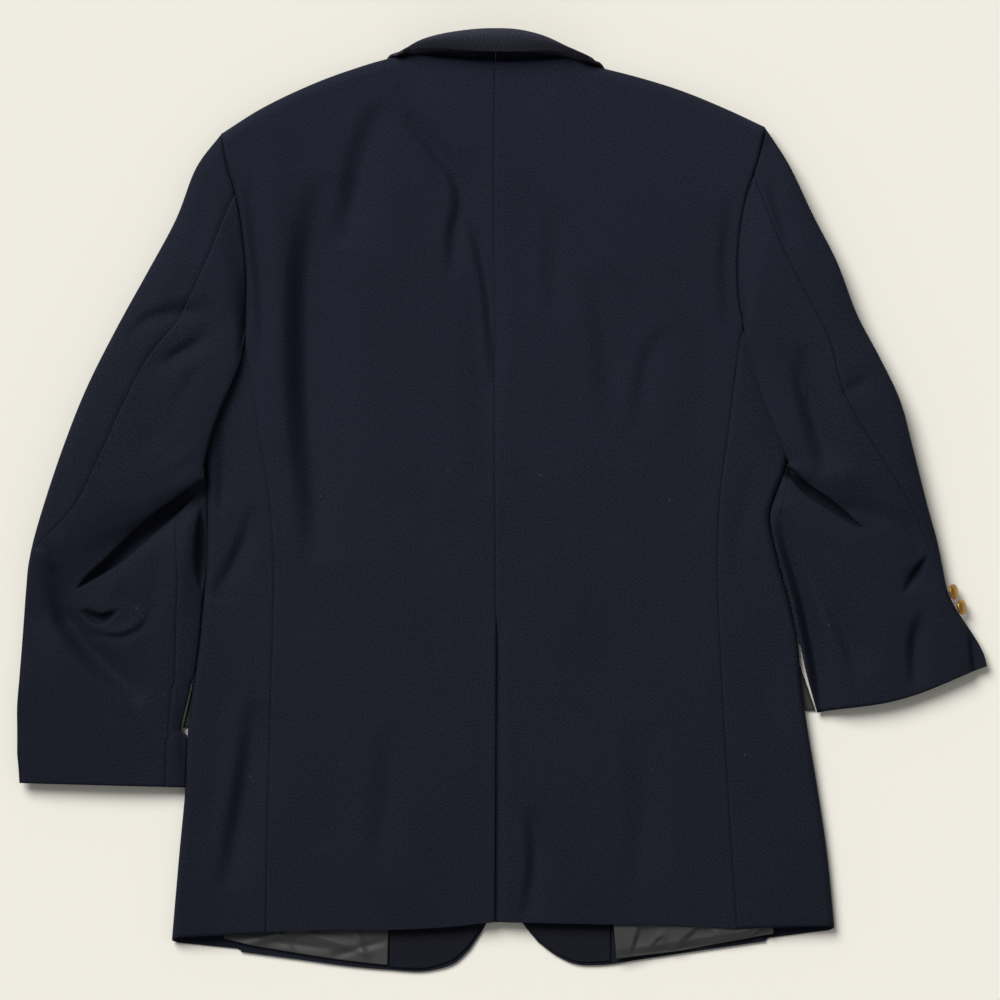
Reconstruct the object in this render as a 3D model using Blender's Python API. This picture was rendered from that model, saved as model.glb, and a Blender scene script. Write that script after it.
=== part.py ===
"""A men's single-breasted blazer laid out face down, back up, its collar towards +Y.

The fronts lie on the ground with the lapels and pocket flaps under them, the back lies over them, and
the sleeves lie on the body's sides down to the elbow and beside the body from there to the cuff.
Sizes below are millimetres. The mesh is made in metres. +X is the wearer's right side.
"""

import bpy
import numpy as np

METRES_PER_MM = 0.001

# Cloth and gaps
BACK_WALL = 2.0
FRONT_WALL = 2.4
SLEEVE_WALL = 2.0
COLLAR_WALL = 2.2
FLAP_WALL = 2.0
LINING_WALL = 1.2
SEAM_GAP = 0.4
LAYER_GAP = 0.3
ARMHOLE_GAP = 0.9

# The body's height above the ground: at the centre seam, and at the side folds and armholes
HEIGHT_COLUMNS = ("y", "centre", "side")
HEIGHT_ROWS = (
    (-396, 13.5, 11.5),
    (-300, 15.0, 12.0),
    (-200, 17.0, 12.5),
    (-60, 19.0, 13.0),
    (60, 20.0, 13.5),
    (140, 20.5, 16.0),
    (220, 21.5, 21.0),
    (300, 21.5, 26.0),
    (360, 20.0, 24.0),
    (404, 18.0, 19.0),
)
CENTRE_X = -6.0
HALF_BODY = 290.0
EDGE_RADIUS_GUESS = 8.0

# The folded side edges of the body, the side-back seams on top of it, and the seams that join the side
# bodies to the fronts underneath
EDGE_COLUMNS = ("y", "left", "right")
EDGE_ROWS = (
    (-396, -297.0, 300.0),
    (-315, -290.0, 292.0),
    (-261, -285.0, 284.0),
    (-207, -282.5, 275.0),
    (-171, -278.0, 269.5),
    (-126, -272.0, 265.5),
    (-90, -269.0, 258.0),
    (-60, -266.0, 250.0),
    (-36, -265.0, 244.0),
    (-15, -265.0, 241.0),
    (9, -265.5, 248.0),
    (29, -268.0, 256.0),
    (72, -274.0, 260.0),
    (150, -283.0, 262.0),
)
SIDE_SEAM_ROWS = (
    (-389, -212.0, 212.0),
    (-315, -211.0, 207.0),
    (-218, -209.0, 201.0),
    (-164, -207.5, 198.0),
    (-104, -205.5, 195.0),
    (-56, -205.0, 194.0),
    (0, -209.0, 196.0),
    (63, -219.0, 204.0),
    (108, -226.0, 209.5),
    (139, -232.0, 213.5),
    (157, -235.0, 217.0),
)
FRONT_SEAM_ROWS = (
    (-406, -235.0, 238.0),
    (-218, -222.0, 214.0),
    (-56, -205.0, 188.0),
    (60, -213.0, 195.0),
    (110, -223.0, 204.0),
    (139, -232.0, 211.0),
    (157, -238.0, 217.0),
)
UNDERARM_Y = {"left": 139.0, "right": 157.0}
SIDE_TOP_DROPS = (4.0, 22.0, 34.0)
SEAM_START = 8.0
ARMHOLE_STEPS = 13
SEAM_STEPS = 22

# Plan curves, from the shoulder tip down to the underarm and from the neck out to the shoulder tip
ARMHOLE = {
    "left": ((-252, 329), (-247, 301), (-238, 270), (-233, 238), (-230, 207), (-230, 171), (-232, 139)),
    "right": ((236, 335), (230, 306), (220, 273), (214, 241), (212, 211), (213, 182), (217, 157)),
}
NECK_POINT = {"left": (-88, 399), "right": (74, 391.5)}
NECK_SEAM = {"left": ((-6, 402), (-50, 402), (-78, 400)), "right": ((-6, 402), (36, 401), (64, 395.5))}
SHOULDER = {"left": ((-137, 386), (-183, 368), (-219, 350)), "right": ((110, 383), (160, 368), (204, 350))}
CENTRE_SEAM = ((-6, 402), (-7, 315), (-7, 180), (-6.5, 45), (-5.5, -108), (-5.8, -234), (-6.5, -380))
BACK_HEM = {
    "left": ((-6.5, -380), (-56, -385), (-101, -387), (-137, -387), (-212, -389)),
    "right": ((-6.5, -380), (88, -382), (160, -383), (212, -386)),
}
SIDE_HEM = {"left": (-389, -396, -406), "right": (-386, -388, -397)}
SHOULDER_ROUND = 10.0
SHOULDER_STEPS = 4
SHOULDER_REACH = (62.0, 92.0)
SHOULDER_SEAM_RISE = 1.4
ROW_CROWDING = 1.35
BACK_LENGTH = 780.0
FRONT_LENGTH = 760.0

# Front edges, from the neck point down the roll line and the closing edge to the hem
FRONT_EDGE = {
    "left": ((-78, 372), (-58, 298), (-27, 135), (6, -28), (13, -75), (13, -200), (9, -240), (2, -280),
             (-6, -330), (-14, -381), (-29, -405)),
    "right": ((66, 365), (46, 291), (25, 150), (3, 14), (-20, -40), (-20, -200), (-14, -240), (-4, -275),
              (6, -320), (18, -380), (32, -398)),
}
FRONT_HEM = {
    "left": ((-29, -405), (-42, -417), (-65, -424), (-104, -423), (-146, -419), (-182, -414), (-233, -407)),
    "right": ((32, -398), (48, -410), (66, -418), (88, -419), (124, -414), (178, -406), (238, -397.5)),
}

# How far parts of the fronts lie above the ground: over the lapels, over the flaps, over the buttons
# Columns: low x, high x, low y, high y, ramp round it, lift
LIFTS = (
    (-190, 180, -60, 420, 45, 2.9),
    (-330, -98, -228, -122, 40, 2.5),
    (84, 330, -214, -108, 40, 2.5),
    (-42, 38, -180, 0, 50, 4.9),
)
OVERLAP_X, OVERLAP_LOW_Y, OVERLAP_HIGH_Y, OVERLAP_RAMP = 52.0, -296.0, 60.0, 50.0
OVERLAP_CLEARANCE = 1.4

# Sleeve sections: the ends of each section line in plan, how far the line bows towards the body, the
# height of its crown, how deep the elbow crease cuts its inner end, the share of its inner part that
# lies on the body, and how far the cuff's outer part is held up by its buttons
# Columns: outer x, outer y, inner x, inner y, bow, crown, crease, on body, tuck
SLEEVE_ROWS = {
    "left": (
        (-252, 329, -232, 139, 13, 30, 0, 1, 0),
        (-275, 298, -235, 124, 12, 29, 0, 1, 0),
        (-293, 252, -243, 104, 9, 29, 0, 1, 0),
        (-320, 202, -252, 84, 6, 28, 0, 1, 0),
        (-347, 153, -260, 63, 3, 28, 0, 1, 0),
        (-374, 99, -266, 41, 0, 29, 0, 1, 0),
        (-396, 43, -268, 27, 0, 30, 0, 1, 0),
        (-416, -18, -268, 20, 0, 29, 0, 1, 0),
        (-425, -54, -268, 16, 0, 26, 3, 0.9, 0),
        (-428, -81, -268, 11, 0, 22, 9, 0.5, 0),
        (-430, -108, -266.6, 5, 0, 19, 7, 0.1, 0),
        (-432, -135, -266.1, -12, 0, 19, 1, 0, 0),
        (-434, -160, -266.8, -55, 0, 19, 0, 0, 2.6),
        (-436, -185, -272.3, -118, 0, 18, 0, 0, 5.2),
        (-436, -206, -281, -172, 0, 16.5, 0, 0, 5.2),
        (-436, -222, -288.3, -205, 0, 16, 0, 0, 5.2),
        (-436, -229, -284.4, -215, 0, 15.8, 0, 0, 5.2),
        (-435, -240, -284.9, -234, 0, 15.5, 0, 0, 5.2),
        (-434, -255, -286.1, -259, 0, 15, 0, 0, 5.2),
    ),
    "right": (
        (236, 335, 217, 157, 13, 30, 0, 1, 0),
        (258, 301, 219, 142, 11, 29, 0, 1, 0),
        (279, 257, 223, 124, 8, 28, 0, 1, 0),
        (301, 214, 229, 104, 5, 27, 0, 1, 0),
        (319, 167, 237, 83, 3, 27, 0, 1, 0),
        (340, 127, 245, 64, 0, 28, 0, 1, 0),
        (358, 89, 252, 47, 0, 28, 0, 1, 0),
        (369, 48, 257, 35, 0, 27, 0, 1, 0),
        (377, 16, 259, 29, 0, 26, 0, 1, 0),
        (384, -11, 260, 25, 0, 24, 5, 0.9, 0),
        (391, -36, 260, 21, 0, 20, 7, 0.5, 0),
        (396, -60, 253, 15, 0, 19, 2, 0.15, 0),
        (400, -80, 247.6, 4, 0, 19, 0, 0, 1),
        (407, -96, 245.2, -15, 0, 19, 0, 0, 3),
        (416, -110, 246.4, -36, 0, 18, 0, 0, 5.2),
        (424, -122, 254.5, -72, 0, 17.5, 0, 0, 5.2),
        (430, -132, 264.9, -113, 0, 16.5, 0, 0, 5.2),
        (434, -141, 273.3, -155, 0, 16, 0, 0, 5.2),
        (436.25, -150, 283.5, -192, 0, 15, 0, 0, 5.2),
    ),
}
HINDARM_SEAM = {
    "left": ((-237, 274), (-243, 259), (-258, 235), (-268, 215), (-274, 185), (-308, 144), (-341, 85),
             (-364, 35), (-383, 0), (-401, -31), (-420, -44), (-427, -80), (-432, -160), (-433, -255)),
    "right": ((223, 290), (246, 240), (267, 197), (293, 147), (308, 96), (335, 48), (352, 21), (370, -11),
              (384, -45), (399, -80), (412, -104), (418, -122), (421, -135), (424, -150)),
}
FOREARM_SEAM = {
    "left": ((-232, 139), (-252, 84), (-268, 27), (-276, 8), (-291, -12), (-292, -60), (-292, -108),
             (-297, -171), (-301, -216), (-303, -257)),
    "right": ((217, 157), (237, 83), (259, 29), (256, 12), (251, -15), (263, -68), (279, -135),
              (288, -190)),
}
SECTION_SQUARENESS = 0.45
CREASE_SPREAD = (0.25, 0.6)
TUCK_SPREAD = (0.16, 0.4)
BODY_RAMP = (34.0, 10.0)
UNDERARM_RAMP = (3.0, 38.0)
LEAST_SEAM_ANGLE = 0.2
SEAM_ANGLE_SHARE = 0.7
LEAST_SLEEVE = 7.5
SLEEVE_CLEARANCE = 0.9
SEAT_LIMIT = (300.0, 160.0)

# The collar leaf: its roll line, its middle and its edge, from one end round the neck to the other
# Columns: roll x, y, z, middle x, y, z, edge x, y, z
COLLAR_ROWS = (
    (-58, 299, 0, -93, 285, 0, -129, 271, 0),
    (-69, 338, 0, -105, 328, 0, -141, 316, 0),
    (-78, 370, 0, -103, 366, 0, -128, 360, 0),
    (-81, 388, 0, -95, 386.5, 0, -110, 383, 0),
    (-83, 399.6, 3.1, -93, 398.6, 3.1, -104, 395.8, 3.1),
    (-83, 403.2, 11, -91.5, 402.5, 11, -100, 400.2, 11),
    (-81, 405.5, 22, -88, 404, 21, -96, 400, 20),
    (-77, 409, 30, -83.5, 407, 28.8, -91, 402.8, 26),
    (-69, 414, 37, -75, 412, 35.5, -82, 405, 26.5),
    (-52, 419, 43, -54, 415, 43.5, -58, 405.5, 27.5),
    (-28, 423.6, 46, -28, 417, 47.5, -29, 403.5, 28),
    (-7, 424.67, 47, -7, 417.5, 48.5, -6, 402.5, 28),
    (14, 423.6, 46, 14, 417, 47.5, 16, 402.5, 28),
    (36, 418, 43, 38, 414, 43.5, 42, 403.5, 27.5),
    (56, 409, 37, 61, 406.5, 35.5, 67, 400.5, 26.5),
    (65, 403, 30, 71.5, 401.8, 28.8, 79.5, 397.8, 26),
    (69, 399, 22, 76, 397.8, 21, 84, 394.4, 20),
    (71, 396, 11, 79, 395.2, 11, 88, 393, 11),
    (71, 391.8, 3.2, 81, 391, 3.2, 92, 388.5, 3.2),
    (70, 381, 0, 84, 379.3, 0, 98, 376, 0),
    (66, 363, 0, 91, 359, 0, 115, 353, 0),
    (57, 331, 0, 93, 321, 0, 129, 309, 0),
    (46, 292, 0, 81, 278, 0, 117, 264, 0),
)

# The collar stand. Columns: top x, y, z, seam x, y, z
STAND_ROWS = (
    (-57, 414.0, 33.0, -60, 405.0, 16.8),
    (-52, 418.2, 41.0, -54, 405.0, 16.5),
    (-28, 422.6, 44.4, -29, 405.0, 16.2),
    (-7, 423.4, 45.3, -7, 405.0, 16.0),
    (14, 422.6, 44.4, 14, 404.8, 16.2),
    (36, 417.2, 41.0, 36, 404.2, 16.5),
    (41, 412.2, 33.0, 44, 402.8, 16.8),
)

# Lapels, flaps and the strips that show inside the hems, each by its four edges
LAPEL = {
    "left": {
        "top": ((-58, 292), (-99, 275), (-143, 244)),
        "inner": ((-58, 292), (-27, 135), (3, -22)),
        "outer": ((-143, 244), (-128, 170), (-92, 85), (-45, 15), (-2, -24)),
    },
    "right": {
        "top": ((46, 285), (87, 268), (131, 237)),
        "inner": ((46, 285), (25, 150), (5, 18)),
        "outer": ((131, 237), (117, 165), (82, 82), (40, 28), (10, 15)),
    },
}
FLAP = {
    "left": ((-273, -144), (-126, -142), (-129, -203), (-287, -205)),
    "right": ((262, -131), (112, -129), (115, -190), (282, -190)),
}
FACING = {
    "left": {
        "inner": ((-12, -360), (-17, -379), (-32, -403), (-45, -414.5)),
        "bottom": ((-45, -414.5), (-66, -421), (-100.5, -421)),
        "outer": ((-100.5, -360), (-100.5, -421)),
    },
    "right": {
        "inner": ((17, -364), (21, -380), (37, -399), (51, -409)),
        "bottom": ((51, -409), (68, -415.5), (97.5, -415.5)),
        "outer": ((97.5, -364), (97.5, -415.5)),
    },
}
LINING = {
    "left": {
        "inner": ((-101.5, -360), (-103, -419)),
        "bottom": ((-103, -419), (-146, -413), (-191, -406), (-230, -399)),
        "outer": ((-230, -360), (-230, -399)),
    },
    "right": {
        "inner": ((98.5, -360), (103, -413)),
        "bottom": ((103, -413), (128, -410), (160, -406), (200, -397), (232, -390)),
        "outer": ((232, -360), (232, -390)),
    },
}
VENT_STRIP = ((-44, -100), (0, -100), (3, -379), (-46, -383))
VENT_GAP = 0.6

# Buttons: rim radius, dome height, and length of the shank behind
FRONT_BUTTON = (10.0, 4.3, 0.0)
CUFF_BUTTON = (7.0, 4.2, 1.8)
FRONT_BUTTON_PLACES = ((-2, -36), (-2, -140))
FACE_DOWN = (0.0, 0.0, -1.0)
FACE_OUT = (0.82, 0.12, 0.56)
CUFF_BUTTON_PLACES = {
    "left": (
        (-422, -184, 0, FACE_DOWN),
        (-422, -199, 0, FACE_DOWN),
        (-422, -214, 0, FACE_DOWN),
        (-421, -229, 0, FACE_DOWN),
    ),
    "right": (
        (408.4, -82.7, 12.3, FACE_OUT),
        (415.8, -96.6, 12.0, FACE_OUT),
        (412, -121, 0, FACE_DOWN),
        (418, -136, 0, FACE_DOWN),
    ),
}
BUTTON_SIDES = 14
# Shares of the radius and of the dome's height, from the middle of the dome to the back's rim
BUTTON_PROFILE = ((0.25, 1.0), (0.7, 0.8), (1.0, 0.45), (0.97, 0.12), (0.86, 0.0))
SHANK_SHARE = 0.24

# The largest folds: a soft ridge (+) or trough (-) along a line, on the back and on the sleeves
# Columns: start x, start y, end x, end y, width, height
BACK_FOLDS = (
    (-208, 330, -205, 60, 17, 3.2),
    (-183, 260, -180, 30, 14, -3.0),
    (-95, 385, -50, 285, 13, -3.0),
    (-24, 300, -14, 20, 13, -3.2),
    (110, 300, 60, 60, 40, 1.5),
)
SLEEVE_FOLDS = {
    "left": (
        (-330, 162, -262, 174, 9, -2.5),
        (-318, 116, -250, 160, 12, -2.5),
        (-452, -55, -340, -172, 22, -4.0),
        (-424, -44, -398, -41, 10, 2.5),
        (-404, -104, -386, -112, 9, -3.0),
        (-293, -5, -286, -90, 10, 3.0),
    ),
    "right": (
        (262, 126, 288, 32, 15, -4.0),
        (366, -58, 376, -85, 14, -4.0),
        (372, -105, 368, -165, 14, -2.5),
        (312, -110, 318, -165, 14, -2.0),
        (308, 98, 332, 112, 9, -2.0),
    ),
}

# Grid sizes: columns across and rows down
BACK_GRID = (12, 25)
SIDE_ARC_STEPS = 7
SIDE_FLAT_STEPS = 4
SIDE_GRID_ROWS = 16
FRONT_GRID = (10, 25)
SLEEVE_TOP_COLUMNS = 15
SLEEVE_BOTTOM_COLUMNS = 19
COLLAR_COLUMNS_ACROSS = 6
STAND_GRID_COLUMNS = 4
LAPEL_GRID = (6, 10)
FLAP_GRID = (6, 4)
STRIP_GRID = (6, 5)
VENT_GRID = (4, 9)

CLOTHS = {
    "navy_wool": ((0.013, 0.014, 0.022), 0.85, 0.0),
    "grey_satin_lining": ((0.042, 0.042, 0.042), 0.45, 0.0),
    "brass": ((0.42, 0.27, 0.10), 0.35, 1.0),
}


def start_empty():
    for obj in list(bpy.data.objects):
        bpy.data.objects.remove(obj, do_unlink=True)


def material_for(node, finish):
    """One Principled material for a node, in the colour, roughness and metal of its finish."""
    colour, roughness, metallic = CLOTHS[finish]
    made = bpy.data.materials.new(node + "_" + finish)
    made.use_nodes = True
    shader = made.node_tree.nodes["Principled BSDF"]
    shader.inputs["Base Color"].default_value = (*colour, 1.0)
    shader.inputs["Roughness"].default_value = roughness
    shader.inputs["Metallic"].default_value = metallic
    return made


def add_object(node, points_mm, faces, finish):
    """A mesh object from points in millimetres, its faces turned outwards and shaded smooth."""
    points = np.asarray(points_mm, float)
    corners = points[np.asarray(faces)]
    first, second, third = corners[:, 0], corners[:, 1], corners[:, 2]
    volume = np.einsum("ij,ij->i", first, np.cross(second, third)).sum()
    if volume < 0:
        faces = [face[::-1] for face in faces]
    mesh = bpy.data.meshes.new(node)
    mesh.from_pydata((points * METRES_PER_MM).tolist(), [], [tuple(face) for face in faces])
    mesh.materials.append(material_for(node, finish))
    mesh.shade_smooth()
    mesh.set_sharp_from_angle(angle=np.radians(40))
    obj = bpy.data.objects.new(node, mesh)
    bpy.context.scene.collection.objects.link(obj)
    return obj


def ease(low, high, value):
    """Rises smoothly from 0 at low to 1 at high, or falls where high is below low."""
    share = np.clip((value - low) / (high - low), 0, 1)
    return share * share * (3 - 2 * share)


def smooth_table(knots, values, at):
    """A smooth curve through a table's values, each knot's slope set by its neighbours."""
    knots = np.asarray(knots, float)
    values = np.asarray(values, float)
    at = np.clip(np.asarray(at, float), knots[0], knots[-1])
    slopes = np.gradient(values, knots, axis=0)
    left = np.clip(np.searchsorted(knots, at, side="right") - 1, 0, len(knots) - 2)
    step = knots[left + 1] - knots[left]
    share = (at - knots[left]) / step
    if values.ndim > 1:
        step = step[..., None]
        share = share[..., None]
    start, end = values[left], values[left + 1]
    leave, arrive = slopes[left] * step, slopes[left + 1] * step
    return (start * (1 + 2 * share) + leave * share) * (1 - share) ** 2 + (
        end * (3 - 2 * share) - arrive * (1 - share)) * share**2


def through(points, shares):
    """Places at the given shares of a smooth curve through points, its knots spaced by distance."""
    points = np.asarray(points, float)
    reach = np.concatenate([[0.0], np.cumsum(np.linalg.norm(np.diff(points, axis=0), axis=1))])
    return smooth_table(reach / reach[-1], points, shares)


def column(rows, names, name):
    """One named column of a table."""
    return np.array([row[names.index(name)] for row in rows], float)


def body_edge(side, y):
    """X of the folded side edge at y."""
    return smooth_table(column(EDGE_ROWS, EDGE_COLUMNS, "y"), column(EDGE_ROWS, EDGE_COLUMNS, side), y)


def side_seam(side, y):
    """X of the side-back seam at y."""
    rows = SIDE_SEAM_ROWS
    return smooth_table(column(rows, EDGE_COLUMNS, "y"), column(rows, EDGE_COLUMNS, side), y)


def front_seam(side, y):
    """X of the seam between the side body and the front, on the underside, at y."""
    rows = FRONT_SEAM_ROWS
    return smooth_table(column(rows, EDGE_COLUMNS, "y"), column(rows, EDGE_COLUMNS, side), y)


def armhole_and_seam(side, seam_at, hem_y, inset):
    """Armhole, then a long seam down to the hem, the seam moved towards the centre by the inset."""
    way = 1 if side == "left" else -1
    armhole = through(ARMHOLE[side], np.linspace(0, 1, ARMHOLE_STEPS))
    ys = np.linspace(UNDERARM_Y[side] - SEAM_START, hem_y, SEAM_STEPS)
    seam = np.stack([seam_at(side, ys) + way * inset, ys], axis=1)
    return np.concatenate([armhole, seam])


def folds_at(folds, x, y):
    """Height of all folds at plan places: each falls off as a bell with distance from its line."""
    total = np.zeros_like(x)
    for x0, y0, x1, y1, width, height in folds:
        run = np.array([x1 - x0, y1 - y0], float)
        share = np.clip(((x - x0) * run[0] + (y - y0) * run[1]) / (run @ run), 0, 1)
        away = np.hypot(x - x0 - share * run[0], y - y0 - share * run[1])
        swell = 0.45 + 0.55 * np.sin(np.pi * share)
        total = total + height * swell * np.exp(-((away / width) ** 2))
    return total


def body_height(x, y):
    """Height of the back's upper face: its side height plus a crown towards the centre seam."""
    knots = column(HEIGHT_ROWS, HEIGHT_COLUMNS, "y")
    centre = smooth_table(knots, column(HEIGHT_ROWS, HEIGHT_COLUMNS, "centre"), y)
    side = smooth_table(knots, column(HEIGHT_ROWS, HEIGHT_COLUMNS, "side"), y)
    share = np.clip(np.abs(x - CENTRE_X) / HALF_BODY, 0, 1)
    return side + (centre - side) * (1 - share**2) + folds_at(BACK_FOLDS, x, y)


def front_lift(side, x, y):
    """How far the underside of a front lies above the ground at plan places."""
    lift = np.zeros_like(x)
    for low_x, high_x, low_y, high_y, ramp, height in LIFTS:
        across = ease(low_x - ramp, low_x, x) * ease(high_x + ramp, high_x, x)
        along = ease(low_y - ramp, low_y, y) * ease(high_y + ramp, high_y, y)
        lift = np.maximum(lift, height * across * along)
    if side == "right":
        over = ease(OVERLAP_X + OVERLAP_RAMP, OVERLAP_X, x)
        over = over * ease(OVERLAP_HIGH_Y + OVERLAP_RAMP, OVERLAP_HIGH_Y, y)
        over = over * ease(OVERLAP_LOW_Y - OVERLAP_RAMP, OVERLAP_LOW_Y, y)
        lift = np.maximum(lift, over * (front_lift("left", x, y) + FRONT_WALL + OVERLAP_CLEARANCE))
    return lift


def patch(top, bottom, inner, outer, across, down):
    """A grid of plan places between four edge curves, rows running down and columns across."""
    above, below = through(top, across)[None], through(bottom, across)[None]
    near, far = through(inner, down)[:, None], through(outer, down)[:, None]
    u, v = across[None, :, None], down[:, None, None]
    corners = (1 - v) * ((1 - u) * above[:, :1] + u * above[:, -1:]) + v * (
        (1 - u) * below[:, :1] + u * below[:, -1:])
    return (1 - v) * above + v * below + (1 - u) * near + u * far - corners


def grid_normals(grid):
    """Unit normals of a grid of points, from the directions of its rows and columns."""
    normals = np.cross(np.gradient(grid, axis=1), np.gradient(grid, axis=0))
    return normals / np.linalg.norm(normals, axis=2, keepdims=True)


def wall_between(node, outer, inner, finish):
    """A closed wall between two grids of the same size, with a rim round its open edges."""
    rows, columns = outer.shape[:2]
    count = rows * columns
    number = np.arange(count).reshape(rows, columns)
    face_in = np.stack([number[:-1, :-1], number[1:, :-1], number[1:, 1:], number[:-1, 1:]], axis=-1)
    faces = [tuple(face) for face in face_in.reshape(-1, 4)]
    faces += [tuple(face[::-1] + count) for face in face_in.reshape(-1, 4)]
    loop = np.concatenate([number[0, :-1], number[:-1, -1], number[-1, :0:-1], number[:0:-1, 0]])
    following = np.roll(loop, -1)
    faces += [(a, b, b + count, a + count) for a, b in zip(loop, following)]
    points = np.concatenate([outer.reshape(-1, 3), inner.reshape(-1, 3)])
    return add_object(node, points, as_triangles(faces), finish)


def as_triangles(faces):
    """Each four-sided face as two triangles."""
    found = []
    for a, b, c, d in faces:
        found += [(a, b, c), (a, c, d)]
    return found


def sheet_wall(node, outer, thickness, away, finish, level_edge=None):
    """A wall whose outer face is the grid, with its inner face moved from it by the thickness.

    away is a direction on the outer side. level_edge is a mask over the first row, where the wall's end
    is upright, as at the shoulder seam.
    """
    normals = grid_normals(outer)
    if (normals * np.asarray(away, float)).sum(axis=2).mean() < 0:
        normals = -normals
    if level_edge is not None:
        normals[0, level_edge, 2] = 0
        normals[0] /= np.linalg.norm(normals[0], axis=1, keepdims=True)
    return wall_between(node, outer, outer - thickness * normals, finish)


def rounded_rows(count, length):
    """Shares down a panel: close together over the rounded shoulder, then evenly to the hem."""
    turn = np.linspace(0, np.pi / 2, SHOULDER_STEPS)
    rounded = SHOULDER_ROUND * (1 - np.cos(turn)) / length
    even = np.linspace(0, 1, count - SHOULDER_STEPS + 1)[1:]
    plain = rounded[-1] + (1 - rounded[-1]) * even**ROW_CROWDING
    rise = np.concatenate([np.sin(turn), np.ones(len(plain))])
    return np.concatenate([rounded, plain]), rise


def make_back(side):
    """Half of the back: its shoulder edge curves down to meet the front at half the shoulder's height."""
    columns, rows = BACK_GRID
    way = -1 if side == "left" else 1
    half_gap = np.array([way * SEAM_GAP / 2, 0])
    top = [*NECK_SEAM[side], NECK_POINT[side], *SHOULDER[side], ARMHOLE[side][0]]
    down, rise = rounded_rows(rows, BACK_LENGTH)
    across = np.linspace(0, 1, columns)
    outer_curve = armhole_and_seam(side, side_seam, SIDE_HEM[side][0], SEAM_GAP)
    plan = patch(top, BACK_HEM[side], CENTRE_SEAM, outer_curve, across, down)
    plan = plan + half_gap * (1 - across)[None, :, None]
    x, y = plan[..., 0], plan[..., 1]
    reach = np.abs(plan[0, :, 0] - CENTRE_X)
    shoulder = ease(*SHOULDER_REACH, reach)
    height = body_height(x, y)
    seam_height = shoulder_seam_height(plan[0, :, 0], plan[0, :, 1]) + SEAM_GAP / 2
    drop = (height[:SHOULDER_STEPS] - seam_height) * shoulder * (1 - rise[:SHOULDER_STEPS, None])
    height[:SHOULDER_STEPS] -= drop
    outer = np.stack([x, y, height], axis=-1)
    sheet_wall("back_" + side, outer, BACK_WALL, (0, 0, 1), "navy_wool", shoulder > 0.9)


def shoulder_seam_height(x, y):
    """Half of the shoulder's height, where back and front meet."""
    return SHOULDER_SEAM_RISE + body_height(x, y) / 2


def make_front(side):
    """A front, its outer face on the ground or on what lies under it, up to the shoulder seam."""
    columns, rows = FRONT_GRID
    top = [NECK_POINT[side], *SHOULDER[side], ARMHOLE[side][0]]
    inner = [NECK_POINT[side], *FRONT_EDGE[side]]
    outer_curve = armhole_and_seam(side, front_seam, FRONT_HEM[side][-1][1], SEAM_GAP)
    down, rise = rounded_rows(rows, FRONT_LENGTH)
    across = np.linspace(0, 1, columns)
    plan = patch(top, [*FRONT_HEM[side][:-1], outer_curve[-1]], inner, outer_curve, across, down)
    x, y = plan[..., 0], plan[..., 1]
    height = front_lift(side, x, y)
    seam_height = shoulder_seam_height(plan[0, :, 0], plan[0, :, 1]) - SEAM_GAP / 2
    height[:SHOULDER_STEPS] += (seam_height - height[:SHOULDER_STEPS]) * (1 - rise[:SHOULDER_STEPS, None])
    outer = np.stack([x, y, height], axis=-1)
    every = np.ones(columns, bool)
    sheet_wall("front_" + side, outer, FRONT_WALL, (0, 0, -1), "navy_wool", every)


def make_side(side):
    """The side body: from the side-back seam over the top, round the folded edge and under."""
    way = 1 if side == "left" else -1
    hem = SIDE_HEM[side]
    underarm = UNDERARM_Y[side]
    turn = np.linspace(np.pi / 2, -np.pi / 2, SIDE_ARC_STEPS)
    on_top = np.linspace(1, 0, SIDE_FLAT_STEPS + 1)[:-1]
    below = np.linspace(0, 1, SIDE_FLAT_STEPS + 1)[1:]
    count = len(on_top) + len(turn) + len(below)
    travel = np.linspace(0, 1, count)
    start_y = underarm - smooth_table([0, 0.5, 1], SIDE_TOP_DROPS, travel)
    end_y = smooth_table([0, 0.5, 1], hem, travel)
    down = np.linspace(0, 1, SIDE_GRID_ROWS)[:, None]
    y = start_y + (end_y - start_y) * down
    edge = body_edge(side, y)
    lift = front_lift(side, edge + way * EDGE_RADIUS_GUESS, y)
    radius = (body_height(edge, y) - lift) / 2
    centre_z = lift + radius
    middle = edge + way * radius
    seam = side_seam(side, y)
    x = np.empty_like(y)
    z = np.empty_like(y)
    tops, arc = len(on_top), slice(len(on_top), len(on_top) + len(turn))
    x[:, :tops] = middle[:, :tops] + (seam - middle)[:, :tops] * on_top
    z[:, :tops] = body_height(x[:, :tops], y[:, :tops])
    x[:, arc] = middle[:, arc] - way * radius[:, arc] * np.cos(turn)
    z[:, arc] = centre_z[:, arc] + radius[:, arc] * np.sin(turn)
    blend = ease(0, 1, on_top)
    flat = (centre_z + radius)[:, :tops]
    z[:, :tops] = flat + (z[:, :tops] - flat) * blend
    under = slice(arc.stop, count)
    reach = front_seam(side, y[:, under]) - way * SEAM_GAP / 2 - middle[:, under]
    x[:, under] = middle[:, under] + reach * below
    z[:, under] = front_lift(side, x[:, under], y[:, under])
    outer = np.stack([x, y, z], axis=-1)
    normals = side_normals(outer, way)
    wall_between("side_" + side, outer, outer - BACK_WALL * normals, "navy_wool")


def side_normals(outer, way):
    """Outward normals of the side body, from its section's direction alone."""
    run = np.gradient(outer, axis=1)
    normals = np.stack([run[..., 2], np.zeros_like(run[..., 2]), -run[..., 0]], axis=-1) * way
    normals /= np.linalg.norm(normals, axis=2, keepdims=True)
    return normals if normals[0, 0, 2] > 0 else -normals


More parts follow.
